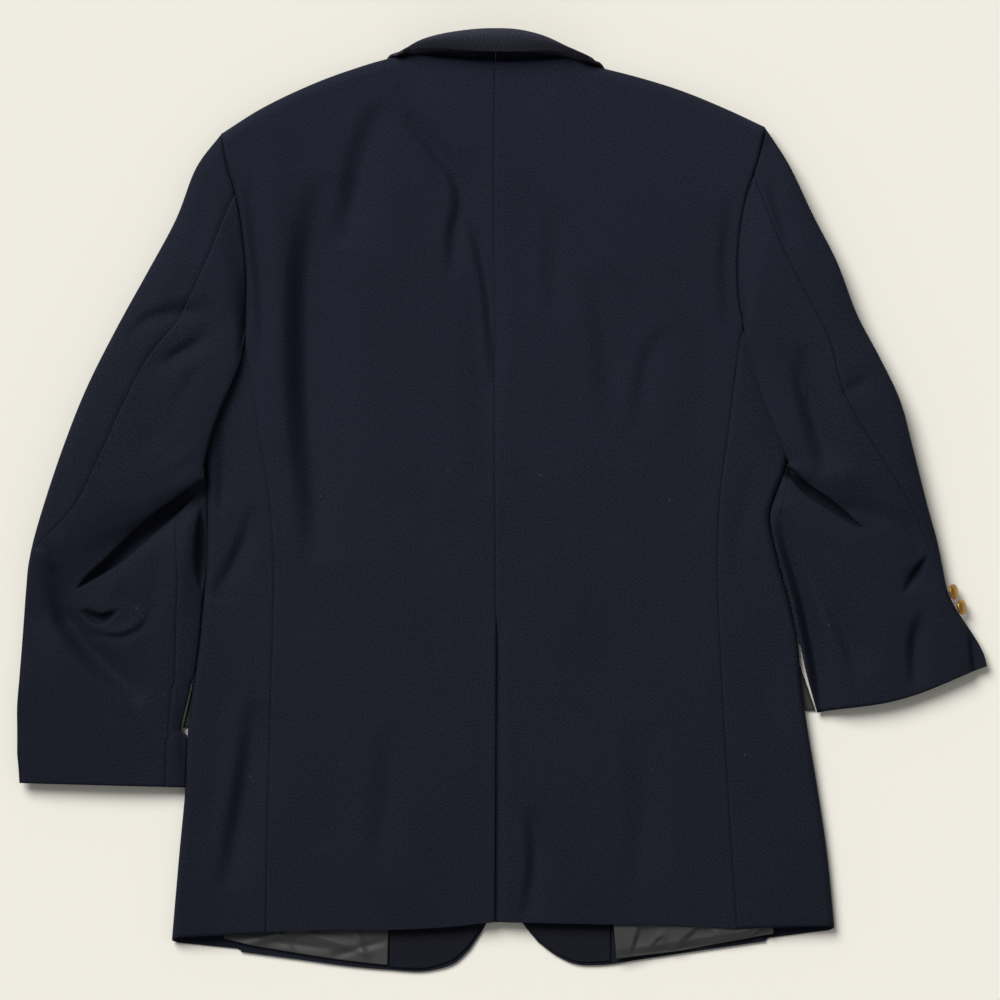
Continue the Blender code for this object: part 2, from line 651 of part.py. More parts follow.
def sleeve_base(side, x, y, on_body):
    """Height that a sleeve's underside lies at: the body's side under its inner part, else the ground."""
    way = 1 if side == "left" else -1
    inside = way * (x - body_edge(side, y))
    across = ease(-BODY_RAMP[0], -BODY_RAMP[1], inside)
    underarm = UNDERARM_Y[side]
    along = ease(underarm + UNDERARM_RAMP[1], underarm + UNDERARM_RAMP[0], y)
    seat = body_height(np.clip(x, -SEAT_LIMIT[0], SEAT_LIMIT[0]), np.minimum(y, SEAT_LIMIT[1]))
    return (seat + SLEEVE_CLEARANCE) * across * along * on_body


def section_points(side, row, angle, shrink):
    """Points round a sleeve's section: a flat rounded ring on a bowed line across the sleeve.

    The angle runs from the outer edge over the top to the inner edge and back underneath. The wall's
    inner face is the same ring shrunk by the wall's thickness on every side.
    """
    outer_x, outer_y, inner_x, inner_y, bow, crown, crease, on_body, tuck = row
    start, end = np.array([outer_x, outer_y]), np.array([inner_x, inner_y])
    span = np.linalg.norm(end - start)
    share = 0.5 - (0.5 - shrink / span) * np.cos(angle)
    way = 1 if side == "left" else -1
    line = start + (end - start) * share[:, None]
    line[:, 0] += way * bow * 4 * share * (1 - share)
    x, y = line[:, 0], line[:, 1]
    base = sleeve_base(side, x, y, on_body)
    base = base + tuck * ease(TUCK_SPREAD[1], TUCK_SPREAD[0], share)
    top = crown - crease * ease(*CREASE_SPREAD, share) + folds_at(SLEEVE_FOLDS[side], x, y)
    top = np.maximum(top, base + LEAST_SLEEVE)
    middle, half = (top + base) / 2, (top - base) / 2 - shrink
    z = middle + half * np.sign(np.sin(angle)) * np.abs(np.sin(angle)) ** SECTION_SQUARENESS
    return np.stack([x, y, z], axis=-1)


def armhole_ring(side, angle, shrink):
    """The sleeve's first ring, on the armhole curve, as high as the back where it meets it."""
    way = -1 if side == "left" else 1
    row = SLEEVE_ROWS[side][0]
    curve = np.array(ARMHOLE[side], float)
    span = np.linalg.norm(curve[-1] - curve[0])
    share = 0.5 - (0.5 - shrink / span) * np.cos(angle)
    plan = through(curve, share) + np.array([way * ARMHOLE_GAP, 0])
    x, y = plan[:, 0], plan[:, 1]
    base = sleeve_base(side, x, y, row[7])
    top = np.maximum(body_height(x, y), base + LEAST_SLEEVE)
    middle, half = (top + base) / 2, (top - base) / 2 - shrink
    z = middle + half * np.sign(np.sin(angle)) * np.abs(np.sin(angle)) ** SECTION_SQUARENESS
    return np.stack([x, y, z], axis=-1)


def seam_angle(side, row, seam):
    """Angle round a section at which a seam crosses it, from the nearest place on the section's line."""
    angle = np.linspace(0, np.pi, 361)
    line = section_points(side, row, angle, 0.0)[:, None, :2]
    curve = through(seam, np.linspace(0, 1, 400))[None]
    nearest = np.linalg.norm(line - curve, axis=2).min(axis=1).argmin()
    return angle[nearest]


def half_gap_angle(side, row, angle):
    """Half of the seam gap as an angle, from how far the wall's inner face moves with the angle there."""
    step = 0.01
    ends = section_points(side, row, np.array([angle - step, angle + step]), SLEEVE_WALL)
    return SEAM_ANGLE_SHARE * SEAM_GAP * 2 * step / np.linalg.norm(ends[1] - ends[0])


def make_sleeve(side):
    """Both pieces of a sleeve: the under sleeve faces up, and the top sleeve wraps round below it."""
    hind = [seam_angle(side, row, HINDARM_SEAM[side]) for row in SLEEVE_ROWS[side]]
    fore = [seam_angle(side, row, FOREARM_SEAM[side]) for row in SLEEVE_ROWS[side]]
    hind = np.maximum(hind, LEAST_SEAM_ANGLE)
    fore = np.minimum(fore, np.pi - LEAST_SEAM_ANGLE)
    pieces = {"under_sleeve_": [], "top_sleeve_": []}
    for number, row in enumerate(SLEEVE_ROWS[side]):
        start, end = (half_gap_angle(side, row, angle) for angle in (hind[number], fore[number]))
        up = np.linspace(hind[number] + start, fore[number] - end, SLEEVE_TOP_COLUMNS)
        last = hind[number] + 2 * np.pi - start
        round_below = np.linspace(fore[number] + end, last, SLEEVE_BOTTOM_COLUMNS)
        for name, angle in (("under_sleeve_", up), ("top_sleeve_", round_below)):
            if number == 0:
                rings = [armhole_ring(side, angle, shrink) for shrink in (0.0, SLEEVE_WALL)]
            else:
                rings = [section_points(side, row, angle, shrink) for shrink in (0.0, SLEEVE_WALL)]
            pieces[name].append(rings)
    for name, rings in pieces.items():
        grids = np.array(rings)
        wall_between(name + side, grids[:, 0], grids[:, 1], "navy_wool")


def make_collar():
    """The collar leaf, swept along its rows, and the stand that joins it to the neck seam."""
    rows = np.array(COLLAR_ROWS, float).reshape(-1, 3, 3)
    across = np.linspace(0, 1, COLLAR_COLUMNS_ACROSS)[None, :, None]
    roll, mid, edge = rows[:, :1], rows[:, 1:2], rows[:, 2:]
    leaf = roll * (1 - across) * (1 - 2 * across) + mid * 4 * across * (1 - across) + edge * across * (
        2 * across - 1)
    normals = grid_normals(leaf)
    middle = len(rows) // 2
    if normals[middle, 0] @ np.array([0, 1, 0.2]) < 0:
        normals = -normals
    wall_between("collar_leaf", leaf, leaf - COLLAR_WALL * normals, "navy_wool")
    stand_rows = np.array(STAND_ROWS, float)
    shares = np.linspace(0, 1, STAND_GRID_COLUMNS)[None, :, None]
    stand = stand_rows[:, None, :3] * (1 - shares) + stand_rows[:, None, 3:] * shares
    wall_between("collar_stand", stand, stand - np.array([0, COLLAR_WALL, 0]), "navy_wool")


def flat_piece(node, plan, bottom, thickness, finish):
    """A flat layer of cloth over a plan grid, from bottom up by the thickness."""
    x, y = plan[..., 0], plan[..., 1]
    under = np.stack([x, y, np.broadcast_to(bottom, x.shape)], axis=-1)
    over = under + np.array([0, 0, thickness])
    wall_between(node, over, under, finish)


def corner_patch(corners, grid):
    """A plan grid between four corners: top inner, top outer, bottom outer, bottom inner."""
    a, b, c, d = corners
    across, down = (np.linspace(0, 1, count) for count in grid)
    return patch((a, b), (d, c), (a, d), (b, c), across, down)


def make_lapel(side):
    edges = LAPEL[side]
    bottom = (edges["inner"][-1], edges["outer"][-1])
    across, down = (np.linspace(0, 1, count) for count in LAPEL_GRID)
    plan = patch(edges["top"], bottom, edges["inner"], edges["outer"], across, down)
    flat_piece("lapel_" + side, plan, 0.0, FRONT_WALL, "navy_wool")


def make_flap(side):
    flat_piece("flap_" + side, corner_patch(FLAP[side], FLAP_GRID), 0.0, FLAP_WALL, "navy_wool")


def make_hem_strip(kind, side, edges, finish):
    """Facing or lining on the inner side of a front, with the part under the back hem for support."""
    top = (edges["inner"][0], edges["outer"][0])
    across, down = (np.linspace(0, 1, count) for count in STRIP_GRID)
    plan = patch(top, edges["bottom"], edges["inner"], edges["outer"], across, down)
    flat_piece(kind + "_" + side, plan, FRONT_WALL + SEAM_GAP, LINING_WALL, finish)


def make_vent_underlap():
    """The strip that the right half of the back passes under the left half in the vent."""
    plan = corner_patch(VENT_STRIP, VENT_GRID)
    x, y = plan[..., 0], plan[..., 1]
    over = np.stack([x, y, body_height(x, y) - BACK_WALL - VENT_GAP], axis=-1)
    wall_between("vent_underlap", over, over - np.array([0, 0, BACK_WALL]), "navy_wool")


def turned_button(node, sizes, place, facing):
    """A domed metal button, turned round its axis, its dome's tip at the place and facing that way."""
    radius, dome, shank = sizes
    rings = [(radius * share, dome * rise) for share, rise in BUTTON_PROFILE]
    if shank > 0:
        rings += [(radius * SHANK_SHARE, 0.0), (radius * SHANK_SHARE, -shank)]
    turn = np.linspace(0, 2 * np.pi, BUTTON_SIDES, endpoint=False)
    axis = np.asarray(facing, float) / np.linalg.norm(facing)
    beside = np.cross(axis, (0.0, 1.0, 0.0))
    beside /= np.linalg.norm(beside)
    upright = np.cross(axis, beside)
    points = []
    for ring_radius, height in rings:
        circle = np.cos(turn)[:, None] * beside + np.sin(turn)[:, None] * upright
        points.append(np.asarray(place, float) + axis * (height - dome) + ring_radius * circle)
    points = np.concatenate([*points, [place], [np.asarray(place) + axis * (rings[-1][1] - dome)]])
    count = len(rings)
    number = np.arange(count * BUTTON_SIDES).reshape(count, BUTTON_SIDES)
    number = np.concatenate([number, number[:, :1]], axis=1)
    quads = np.stack([number[:-1, :-1], number[1:, :-1], number[1:, 1:], number[:-1, 1:]], axis=-1)
    faces = as_triangles([tuple(face) for face in quads.reshape(-1, 4)])
    front, back = count * BUTTON_SIDES, count * BUTTON_SIDES + 1
    faces += [(front, number[0, i], number[0, i + 1]) for i in range(BUTTON_SIDES)]
    faces += [(back, number[-1, i + 1], number[-1, i]) for i in range(BUTTON_SIDES)]
    return add_object(node, points, faces, "brass")


def make_buttons():
    for number, (x, y) in enumerate(FRONT_BUTTON_PLACES, start=1):
        turned_button("front_button_" + str(number), FRONT_BUTTON, (x, y, 0), FACE_DOWN)
    for side, places in CUFF_BUTTON_PLACES.items():
        for number, (x, y, z, facing) in enumerate(places, start=1):
            turned_button("cuff_button_" + side + "_" + str(number), CUFF_BUTTON, (x, y, z), facing)


def make_blazer():
    start_empty()
    for side in ("left", "right"):
        make_back(side)
        make_side(side)
        make_front(side)
        make_lapel(side)
        make_flap(side)
        make_hem_strip("facing", side, FACING[side], "navy_wool")
        make_hem_strip("lining", side, LINING[side], "grey_satin_lining")
        make_sleeve(side)
    make_vent_underlap()
    make_collar()
    make_buttons()


make_blazer()
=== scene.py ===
# %% [markdown]
# # A navy wool blazer, laid face down
#
# The blazer lies on its fronts with its back up, so the camera looks straight down at the back, the two
# sleeves and the edge of the collar. Each cloth panel is made again in place of its imported solid, as a
# thin shell of many small faces, because wool shows its softness only in long shallow folds, rolled edges
# and sunken seams, and those need far more points than a solid does.

import bpy
import numpy as np
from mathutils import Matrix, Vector


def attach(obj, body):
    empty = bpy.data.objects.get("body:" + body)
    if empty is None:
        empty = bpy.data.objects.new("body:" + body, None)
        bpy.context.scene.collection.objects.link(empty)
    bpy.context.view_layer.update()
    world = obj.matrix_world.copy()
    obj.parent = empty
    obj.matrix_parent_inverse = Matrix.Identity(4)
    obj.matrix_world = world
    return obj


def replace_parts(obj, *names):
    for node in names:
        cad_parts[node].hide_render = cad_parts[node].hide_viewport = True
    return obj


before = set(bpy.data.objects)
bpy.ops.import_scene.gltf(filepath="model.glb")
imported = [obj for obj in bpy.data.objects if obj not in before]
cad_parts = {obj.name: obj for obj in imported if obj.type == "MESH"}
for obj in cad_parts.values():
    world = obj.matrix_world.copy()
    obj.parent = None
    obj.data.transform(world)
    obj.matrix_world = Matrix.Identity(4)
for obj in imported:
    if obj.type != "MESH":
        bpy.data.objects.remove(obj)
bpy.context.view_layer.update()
MM = 0.001
SIDES = ("left", "right")

# %% [markdown]
# ## Sizes
#
# A blazer panel is known by its edges: a seam, a folded edge or a hem, each a curve through a few places.
# The tables below hold those places in millimetres, in the frame of the solids: +X is the wearer's right,
# +Y runs to the collar and +Z is up. Everything else is worked out from them.

# %% Heights and edges of the body
BACK_SHELL, FRONT_SHELL, SLEEVE_SHELL, COLLAR_SHELL = 1.5, 1.6, 1.4, 2.0
FRONT_WALL, BACK_WALL = 2.4, 2.0
SEAM_GAP = 0.03
HEIGHT_COLUMNS = ("y", "centre", "side")
HEIGHT_ROWS = (
    (-396, 13.5, 11.5), (-300, 15.0, 12.0), (-200, 17.0, 12.5), (-60, 19.0, 13.0), (60, 20.0, 13.5),
    (140, 20.5, 16.0), (220, 21.5, 21.0), (300, 21.5, 26.0), (360, 20.0, 24.0), (404, 18.0, 19.0),
)
CENTRE_X, HALF_BODY = -6.0, 290.0
EDGE_COLUMNS = ("y", "left", "right")
EDGE_ROWS = (
    (-396, -297.0, 300.0), (-315, -290.0, 292.0), (-261, -285.0, 284.0), (-207, -282.5, 275.0),
    (-171, -278.0, 269.5), (-126, -272.0, 265.5), (-90, -269.0, 258.0), (-60, -266.0, 250.0),
    (-36, -265.0, 244.0), (-15, -265.0, 241.0), (9, -265.5, 248.0), (29, -268.0, 256.0),
    (72, -274.0, 260.0), (150, -283.0, 262.0),
)
SIDE_SEAM_ROWS = (
    (-389, -212.0, 212.0), (-315, -211.0, 207.0), (-218, -209.0, 201.0), (-164, -207.5, 198.0),
    (-104, -205.5, 195.0), (-56, -205.0, 194.0), (0, -209.0, 196.0), (63, -219.0, 204.0),
    (108, -226.0, 209.5), (139, -232.0, 213.5), (157, -235.0, 217.0),
)
FRONT_SEAM_ROWS = (
    (-406, -235.0, 238.0), (-218, -222.0, 214.0), (-56, -205.0, 188.0), (60, -213.0, 195.0),
    (110, -223.0, 204.0), (139, -232.0, 211.0), (157, -238.0, 217.0),
)
UNDERARM_Y = {"left": 139.0, "right": 157.0}
ARMHOLE = {
    "left": ((-252, 329), (-247, 301), (-238, 270), (-233, 238), (-230, 207), (-230, 171), (-232, 139)),
    "right": ((236, 335), (230, 306), (220, 273), (214, 241), (212, 211), (213, 182), (217, 157)),
}
NECK_POINT = {"left": (-88, 399), "right": (74, 391.5)}
NECK_SEAM = {"left": ((-6, 402), (-50, 402), (-78, 400)), "right": ((-6, 402), (36, 401), (64, 395.5))}
SHOULDER = {"left": ((-137, 386), (-183, 368), (-219, 350)), "right": ((110, 383), (160, 368), (204, 350))}
CENTRE_SEAM = ((-6, 402), (-7, 315), (-7, 180), (-6.5, 45), (-5.5, -108), (-5.8, -234), (-6.5, -380))
BACK_HEM = {
    "left": ((-6.5, -380), (-56, -385), (-101, -387), (-137, -387), (-212, -389)),
    "right": ((-6.5, -380), (88, -382), (160, -383), (212, -386)),
}
SIDE_HEM = {"left": (-389, -396, -406), "right": (-386, -385, -397)}
neck_y, vent_y, hem_y = (CENTRE_SEAM[number][1] for number in (0, 4, -1))
print("back length:", neck_y - hem_y, "mm, vent:", vent_y - hem_y, "mm")

# %% Edges and lifts of the fronts
FRONT_EDGE = {
    "left": ((-78, 372), (-58, 298), (-27, 135), (6, -28), (13, -75), (13, -200), (9, -240), (2, -280),
             (-6, -330), (-14, -381), (-29, -405)),
    "right": ((66, 365), (46, 291), (25, 150), (3, 14), (-20, -40), (-20, -200), (-14, -240), (-4, -275),
              (6, -320), (18, -380), (32, -398)),
}
FRONT_HEM = {
    "left": ((-29, -405), (-42, -417), (-65, -424), (-104, -423), (-146, -419), (-182, -414), (-233, -407)),
    "right": ((32, -398), (48, -410), (66, -418), (88, -419), (124, -414), (178, -406), (238, -397.5)),
}
LIFTS = (  # low x, high x, low y, high y, ramp round it, lift
    (-190, 180, -60, 420, 45, 2.9), (-330, -98, -228, -122, 40, 2.5),
    (84, 330, -214, -108, 40, 2.5), (-42, 38, -180, 0, 50, 4.9),
)
OVERLAP_X, OVERLAP_LOW_Y, OVERLAP_HIGH_Y, OVERLAP_RAMP, OVERLAP_CLEARANCE = 52.0, -296.0, 60.0, 50.0, 1.4
SHOULDER_ROUND, SHOULDER_LINE_RISE, BACK_LENGTH, FRONT_LENGTH = 10.0, 1.4, 780.0, 760.0
HEM_TURN = 38.0

# %% Sleeve sections and seams
# Columns: outer x, outer y, inner x, inner y, bow, crown, crease, on body, tuck
SLEEVE_ROWS = {
    "left": (
        (-252, 329, -232, 139, 13, 30, 0, 1, 0), (-275, 298, -235, 124, 12, 29, 0, 1, 0),
        (-293, 252, -243, 104, 9, 29, 0, 1, 0), (-320, 202, -252, 84, 6, 28, 0, 1, 0),
        (-347, 153, -260, 63, 3, 28, 0, 1, 0), (-374, 99, -266, 41, 0, 29, 0, 1, 0),
        (-396, 43, -268, 27, 0, 30, 0, 1, 0), (-416, -18, -268, 20, 0, 29, 0, 1, 0),
        (-425, -54, -268, 16, 0, 26, 3, 0.9, 0), (-428, -81, -268, 11, 0, 22, 9, 0.5, 0),
        (-430, -108, -266.6, 5, 0, 19, 7, 0.1, 0), (-432, -135, -266.1, -12, 0, 19, 1, 0, 0),
        (-434, -160, -266.8, -55, 0, 19, 0, 0, 2.6), (-436, -185, -272.3, -118, 0, 18, 0, 0, 5.2),
        (-436, -206, -281, -172, 0, 16.5, 0, 0, 5.2), (-436, -222, -288.3, -205, 0, 16, 0, 0, 5.2),
        (-436, -229, -284.4, -215, 0, 15.8, 0, 0, 5.2), (-435, -240, -284.9, -234, 0, 15.5, 0, 0, 5.2),
        (-434, -255, -286.1, -259, 0, 15, 0, 0, 5.2),
    ),
    "right": (
        (236, 335, 217, 157, 13, 30, 0, 1, 0), (258, 301, 219, 142, 11, 29, 0, 1, 0),
        (279, 257, 223, 124, 8, 28, 0, 1, 0), (301, 214, 229, 104, 5, 27, 0, 1, 0),
        (319, 167, 237, 83, 3, 27, 0, 1, 0), (340, 127, 245, 64, 0, 28, 0, 1, 0),
        (358, 89, 252, 47, 0, 28, 0, 1, 0), (369, 48, 257, 35, 0, 27, 0, 1, 0),
        (377, 16, 259, 29, 0, 26, 0, 1, 0), (384, -11, 260, 25, 0, 24, 5, 0.9, 0),
        (391, -36, 260, 21, 0, 20, 7, 0.5, 0), (396, -60, 253, 15, 0, 19, 2, 0.15, 0),
        (400, -80, 247.6, 4, 0, 19, 0, 0, 1), (407, -96, 245.2, -15, 0, 19, 0, 0, 3),
        (416, -110, 246.4, -36, 0, 18, 0, 0, 5.2), (424, -122, 254.5, -72, 0, 17.5, 0, 0, 5.2),
        (430, -132, 264.9, -113, 0, 16.5, 0, 0, 5.2), (434, -141, 273.3, -155, 0, 16, 0, 0, 5.2),
        (436.25, -150, 283.5, -192, 0, 15, 0, 0, 5.2),
    ),
}
HINDARM_SEAM = {
    "left": ((-237, 274), (-243, 259), (-258, 235), (-268, 215), (-274, 185), (-308, 144), (-341, 85),
             (-364, 35), (-383, 0), (-401, -31), (-420, -44), (-427, -80), (-432, -160), (-433, -255)),
    "right": ((223, 290), (246, 240), (267, 197), (293, 147), (308, 96), (335, 48), (352, 21), (370, -11),
              (384, -45), (399, -80), (412, -104), (418, -122), (421, -135), (424, -150)),
}
FOREARM_SEAM = {
    "left": ((-232, 139), (-252, 84), (-268, 27), (-276, 8), (-291, -12), (-292, -60), (-292, -108),
             (-297, -171), (-301, -216), (-303, -257)),
    "right": ((217, 157), (237, 83), (259, 29), (256, 12), (251, -15), (263, -68), (279, -135),
              (288, -190)),
}
SQUARENESS, RING_DROP = 0.45, 0.9
CREASE_SPREAD, TUCK_SPREAD = (0.25, 0.6), (0.16, 0.4)
BODY_RAMP, UNDERARM_RAMP = (34.0, 10.0), (3.0, 38.0)
LEAST_SEAM_ANGLE, LEAST_SLEEVE, SLEEVE_CLEARANCE = 0.2, 3.8, 0.9
SEAT_LIMIT = (300.0, 160.0)
TOUCH = 0.15
CUFF_HANG, CUFF_HANG_ROWS, HANG_POWER = {"left": 0.0, "right": 8.4}, (-90.0, -192.0), 1.5
CLEAR_OF_BODY = {"left": (-213, -208, -170, -156), "right": (-900, -800, -134, -122)}
print("sleeve rows:", {side: len(rows) for side, rows in SLEEVE_ROWS.items()})

# %% [markdown]
# ## Curves, folds and heights
#
# A pressed jacket has no sharp corners, so every table is read as a smooth curve through its rows. Three
# kinds of relief are added to the cloth. A fold or crease is a soft ridge or trough along a straight line.
# A band is a lopsided fold along a curve: it stands proud on one side, drops across the line and climbs
# back slowly. A slot is where cloth has doubled over, as at an elbow: it is steep on both sides, and the
# proud side leans out over it.

# %% Smooth curves
def ease(low, high, value):
    """Rises from 0 at low to 1 at high as 3t squared minus 2t cubed, or falls where high is below low."""
    t = np.clip((value - low) / (high - low), 0, 1)
    return t * t * (3 - 2 * t)


def smooth_table(knots, values, at):
    """A cubic through the table's values whose slope at each knot is that of its neighbours."""
    knots, values = np.asarray(knots, float), np.asarray(values, float)
    at = np.clip(np.asarray(at, float), knots[0], knots[-1])
    slopes = np.gradient(values, knots, axis=0)
    left = np.clip(np.searchsorted(knots, at, side="right") - 1, 0, len(knots) - 2)
    step = knots[left + 1] - knots[left]
    t = (at - knots[left]) / step
    if values.ndim > 1:
        step, t = step[..., None], t[..., None]
    leave, arrive = slopes[left] * step, slopes[left + 1] * step
    start, end = values[left], values[left + 1]
    return (start * (1 + 2 * t) + leave * t) * (1 - t) ** 2 + (end * (3 - 2 * t) - arrive * (1 - t)) * t**2


def through(points, shares):
    """Places at shares from 0 to 1 of a smooth curve through points, its knots spaced by distance."""
    points = np.asarray(points, float)
    reach = np.concatenate([[0.0], np.cumsum(np.linalg.norm(np.diff(points, axis=0), axis=1))])
    return smooth_table(reach / reach[-1], points, shares)


def column(rows, names, name):
    """One named column of a table."""
    return np.array([row[names.index(name)] for row in rows], float)


def edge_table(rows, side, y):
    """X at height y along the body, from one of the tables of edges and seams."""
    return smooth_table(column(rows, EDGE_COLUMNS, "y"), column(rows, EDGE_COLUMNS, side), y)


# %% Folds
# Columns: start x, start y, end x, end y, width, height
BACK_FOLDS = (
    (-208, 330, -205, 60, 17, 3.2), (-183, 260, -180, 30, 14, -3.0), (-95, 385, -50, 285, 13, -3.0),
    (-24, 300, -14, 20, 13, -3.2), (110, 300, 60, 60, 40, 1.5),
)
BACK_CREASES = (
    (-141, 345, -136, 265, 9, -1.4), (-60, 330, -42, 225, 9, -1.4), (-112, 330, -96, 210, 12, 0.9),
    (-238, 5, -236, -66, 9, -1.4), (-268, -86, -238, -89, 3.5, -1.0), (-249, -180, -263, -318, 11, -1.3),
    (-176, 30, -172, -30, 12, -1.2), (18, 180, 26, -40, 16, -0.8), (64, 210, 52, 40, 18, -0.7),
    (126, 250, 108, 120, 16, -0.7), (180, 150, 172, 10, 13, -0.9), (-70, 60, -66, -60, 15, -0.6),
    (-128, -40, -122, -190, 18, -0.6), (96, -60, 92, -230, 20, -0.6), (224, 20, 210, -60, 8, -1.0),
    (236, -120, 246, -250, 12, -0.9), (150, -230, 158, -350, 17, 0.7), (-90, -230, -84, -350, 19, 0.6),
    (-30, -90, -10, -112, 6, -0.5), (22, -88, 2, -110, 7, -0.5), (60, 385, 84, 330, 12, -0.9),
)
SLEEVE_FOLDS = {
    "left": (
        (-330, 162, -262, 174, 9, -2.5), (-318, 116, -250, 160, 12, -2.5), (-452, -55, -340, -172, 22, -4.0),
        (-424, -44, -398, -41, 10, 2.5), (-404, -104, -386, -112, 9, -3.0), (-293, -5, -286, -90, 10, 3.0),
    ),
    "right": (
        (262, 126, 288, 32, 15, -4.0), (366, -58, 376, -85, 14, -4.0), (372, -105, 368, -165, 14, -2.5),
        (312, -110, 318, -165, 14, -2.0), (308, 98, 332, 112, 9, -2.0),
    ),
}
SLEEVE_CREASES = {
    "left": (
        (-262, 284, -276, 214, 9, -1.2), (-296, 214, -318, 140, 10, 0.9), (-292, 86, -272, 120, 7, -1.3),
        (-330, 40, -300, 70, 10, -1.0), (-372, 60, -352, 10, 12, -0.9), (-392, 20, -402, -30, 8, -0.9),
        (-376, -122, -338, -108, 6, -1.5), (-420, -112, -412, -176, 11, -1.2),
        (-350, -150, -330, -220, 14, 1.0), (-312, -60, -318, -150, 9, -1.3),
        (-392, -186, -386, -240, 13, -0.8), (-302, 30, -276, 44, 6, 1.2),
        (-266, -8, -268, -72, 6, -7.0), (-281, 2, -284, -60, 8, 3.0), (-288, -184, -286, -255, 4, -2.0),
    ),
    "right": (
        (242, 286, 262, 222, 9, -1.0), (286, 190, 304, 120, 11, 0.9), (250, 150, 262, 96, 8, -1.2),
        (322, 100, 334, 40, 10, -1.0), (352, 60, 362, 16, 8, 0.8), (290, 60, 306, 20, 8, -1.2),
        (334, -30, 352, -70, 10, -1.3), (392, -60, 404, -96, 7, 0.9), (286, -60, 292, -120, 10, 0.9),
        (344, -110, 342, -170, 12, 0.8), (400, -112, 402, -152, 10, -0.8), (262, -30, 300, -52, 9, -1.2),
        (246, 20, 240, -12, 6, -3.0), (358, 0, 377, -48, 8, -1.6),
    ),
}
# Places along the fold's line (proud ground on its left), depth, reach, rise, half width of the drop
BACK_BANDS = (
    (((-174, -56), (-177, 0), (-183, 62), (-186, 134), (-185, 197), (-178, 251), (-168, 296)),
     13.0, 38, 3.6, 12.5),
    (((-150, 228), (-144, 256), (-137, 288), (-130, 323), (-112, 360)), 6.8, 24, 2.1, 11.0),
    (((-48, 200), (-47, 239), (-42, 266), (-47, 291), (-66, 315), (-92, 340)), 6.5, 15, 2.3, 6.5),
    (((-9, 100), (-13, 152), (-17, 193), (-25, 228), (-35, 262)), 5.4, 10, 2.1, 5.5),
    (((41, 160), (40, 210), (40, 262)), 2.3, 16, 0.8, 9.0),
    (((-219, 120), (-220, 188), (-225, 233), (-231, 290)), 4.9, 13, 0.7, 6.0),
    (((91, 70), (86, 122), (81, 161), (76, 206)), 3.8, 22, 1.1, 12.0),
    (((115, 60), (123, 112), (131, 139), (149, 158)), 2.7, 18, 0.9, 8.0),
    (((200, 150), (197, 210), (202, 275)), 3.2, 12, 0.5, 7.0),
    (((-254, -350), (-243, -288), (-235, -243), (-229, -180)), 8.5, 20, 1.8, 8.0),
    (((18, -376), (25, -324), (22, -276)), 4.8, 14, 1.1, 6.0),
    (((-257, -14), (-254, 26), (-258, 64)), 4.6, 9, 0.3, 5.0),
    (((-263, -86), (-247, -60), (-233, -27), (-229, -4)), 5.4, 13, 0.9, 6.0),
    (((-120, -330), (-112, -270), (-108, -200)), 2.7, 26, 0.9, 12.0),
    (((110, -350), (118, -280), (112, -200)), 2.2, 26, 0.9, 12.0),
)
SLEEVE_BANDS = {
    "left": (
        (((-326, -186), (-347, -167), (-371, -145), (-396, -112), (-411, -58)), 11.0, 20, 3.0, 10.0),
        (((-369, -119), (-338, -120), (-322, -109), (-318, -98)), 2.6, 7, 1.4, 2.5),
        (((-322, -112), (-336, -96), (-352, -86)), 2.4, 12, 0.4, 4.0),
        (((-340, 149), (-316, 167), (-297, 172), (-256, 173)), 3.2, 9, 1.6, 3.5),
        (((-307, 126), (-289, 136), (-268, 148)), 3.4, 11, 1.4, 5.0),
        (((-400, -60), (-412, -46), (-424, -44)), 2.6, 10, 1.6, 4.0),
    ),
    "right": (
        (((288, 24), (276, 68), (267, 102), (262, 136)), 8.0, 18, 1.6, 9.0),
        (((258, 226), (244, 255), (233, 286)), 4.2, 12, 1.0, 6.5),
        (((303, 94), (313, 103), (329, 109)), 2.2, 7, 1.0, 3.0),
        (((367, -168), (369, -120), (377, -96)), 5.6, 11, 1.6, 5.5),
        (((320, -160), (301, -118), (285, -84), (272, -48)), 5.4, 14, 1.6, 8.0),
        (((425, -172), (422.5, -153), (418.5, -122), (412, -106), (398.7, -84)), 7.5, 20, 0.3, 2.6),
        (((286, -216), (278.5, -156), (263, -82), (249.5, -37), (244, -10)), 14.0, 17, 1.8, 4.6),
    ),
}
# Places along the slot's middle (proud ground on its left), depth, half width, rise, overhang
SLEEVE_SLOTS = {
    "left": (
        (((-382, -81), (-375, -74), (-349, -52), (-320, -25), (-293, -4), (-264, 19)), 24.0, 8.6, 2.4, 5.0),
        (((-379, -98), (-361, -107.5), (-345, -100)), 8.5, 4.4, 0.4, 0.5),
        (((-270, -84), (-272, -55), (-271, -28), (-270, -6)), 9.0, 4.2, 2.4, 1.0),
    ),
    "right": (
        (((256, 30), (268.7, 17.1), (280.7, 8.6), (289.7, 3.6), (301.7, -5.4), (324, -26)),
         28.0, 7.6, 5.5, 9.4),
        (((360, -86), (371, -69), (384, -49)), 5.5, 3.6, 0.8, 0.4),
    ),
}
SLOT_WALL, SLOT_RISE_REACH = 1.8, 14.0
BAND_END_POWER, SLOT_END_POWER = 0.7, 0.8
LINE_POINTS, NEAR_SHARE, NEAR_MORE = 60, 0.6, 60


def folds_at(folds, x, y):
    """Sum of soft folds: each is a bell across its line, and swells towards the middle of its length."""
    total = np.zeros_like(x)
    for x0, y0, x1, y1, width, height in folds:
        run = np.array([x1 - x0, y1 - y0], float)
        share = np.clip(((x - x0) * run[0] + (y - y0) * run[1]) / (run @ run), 0, 1)
        away = np.hypot(x - x0 - share * run[0], y - y0 - share * run[1])
        total = total + height * (0.45 + 0.55 * np.sin(np.pi * share)) * np.exp(-((away / width) ** 2))
    return total


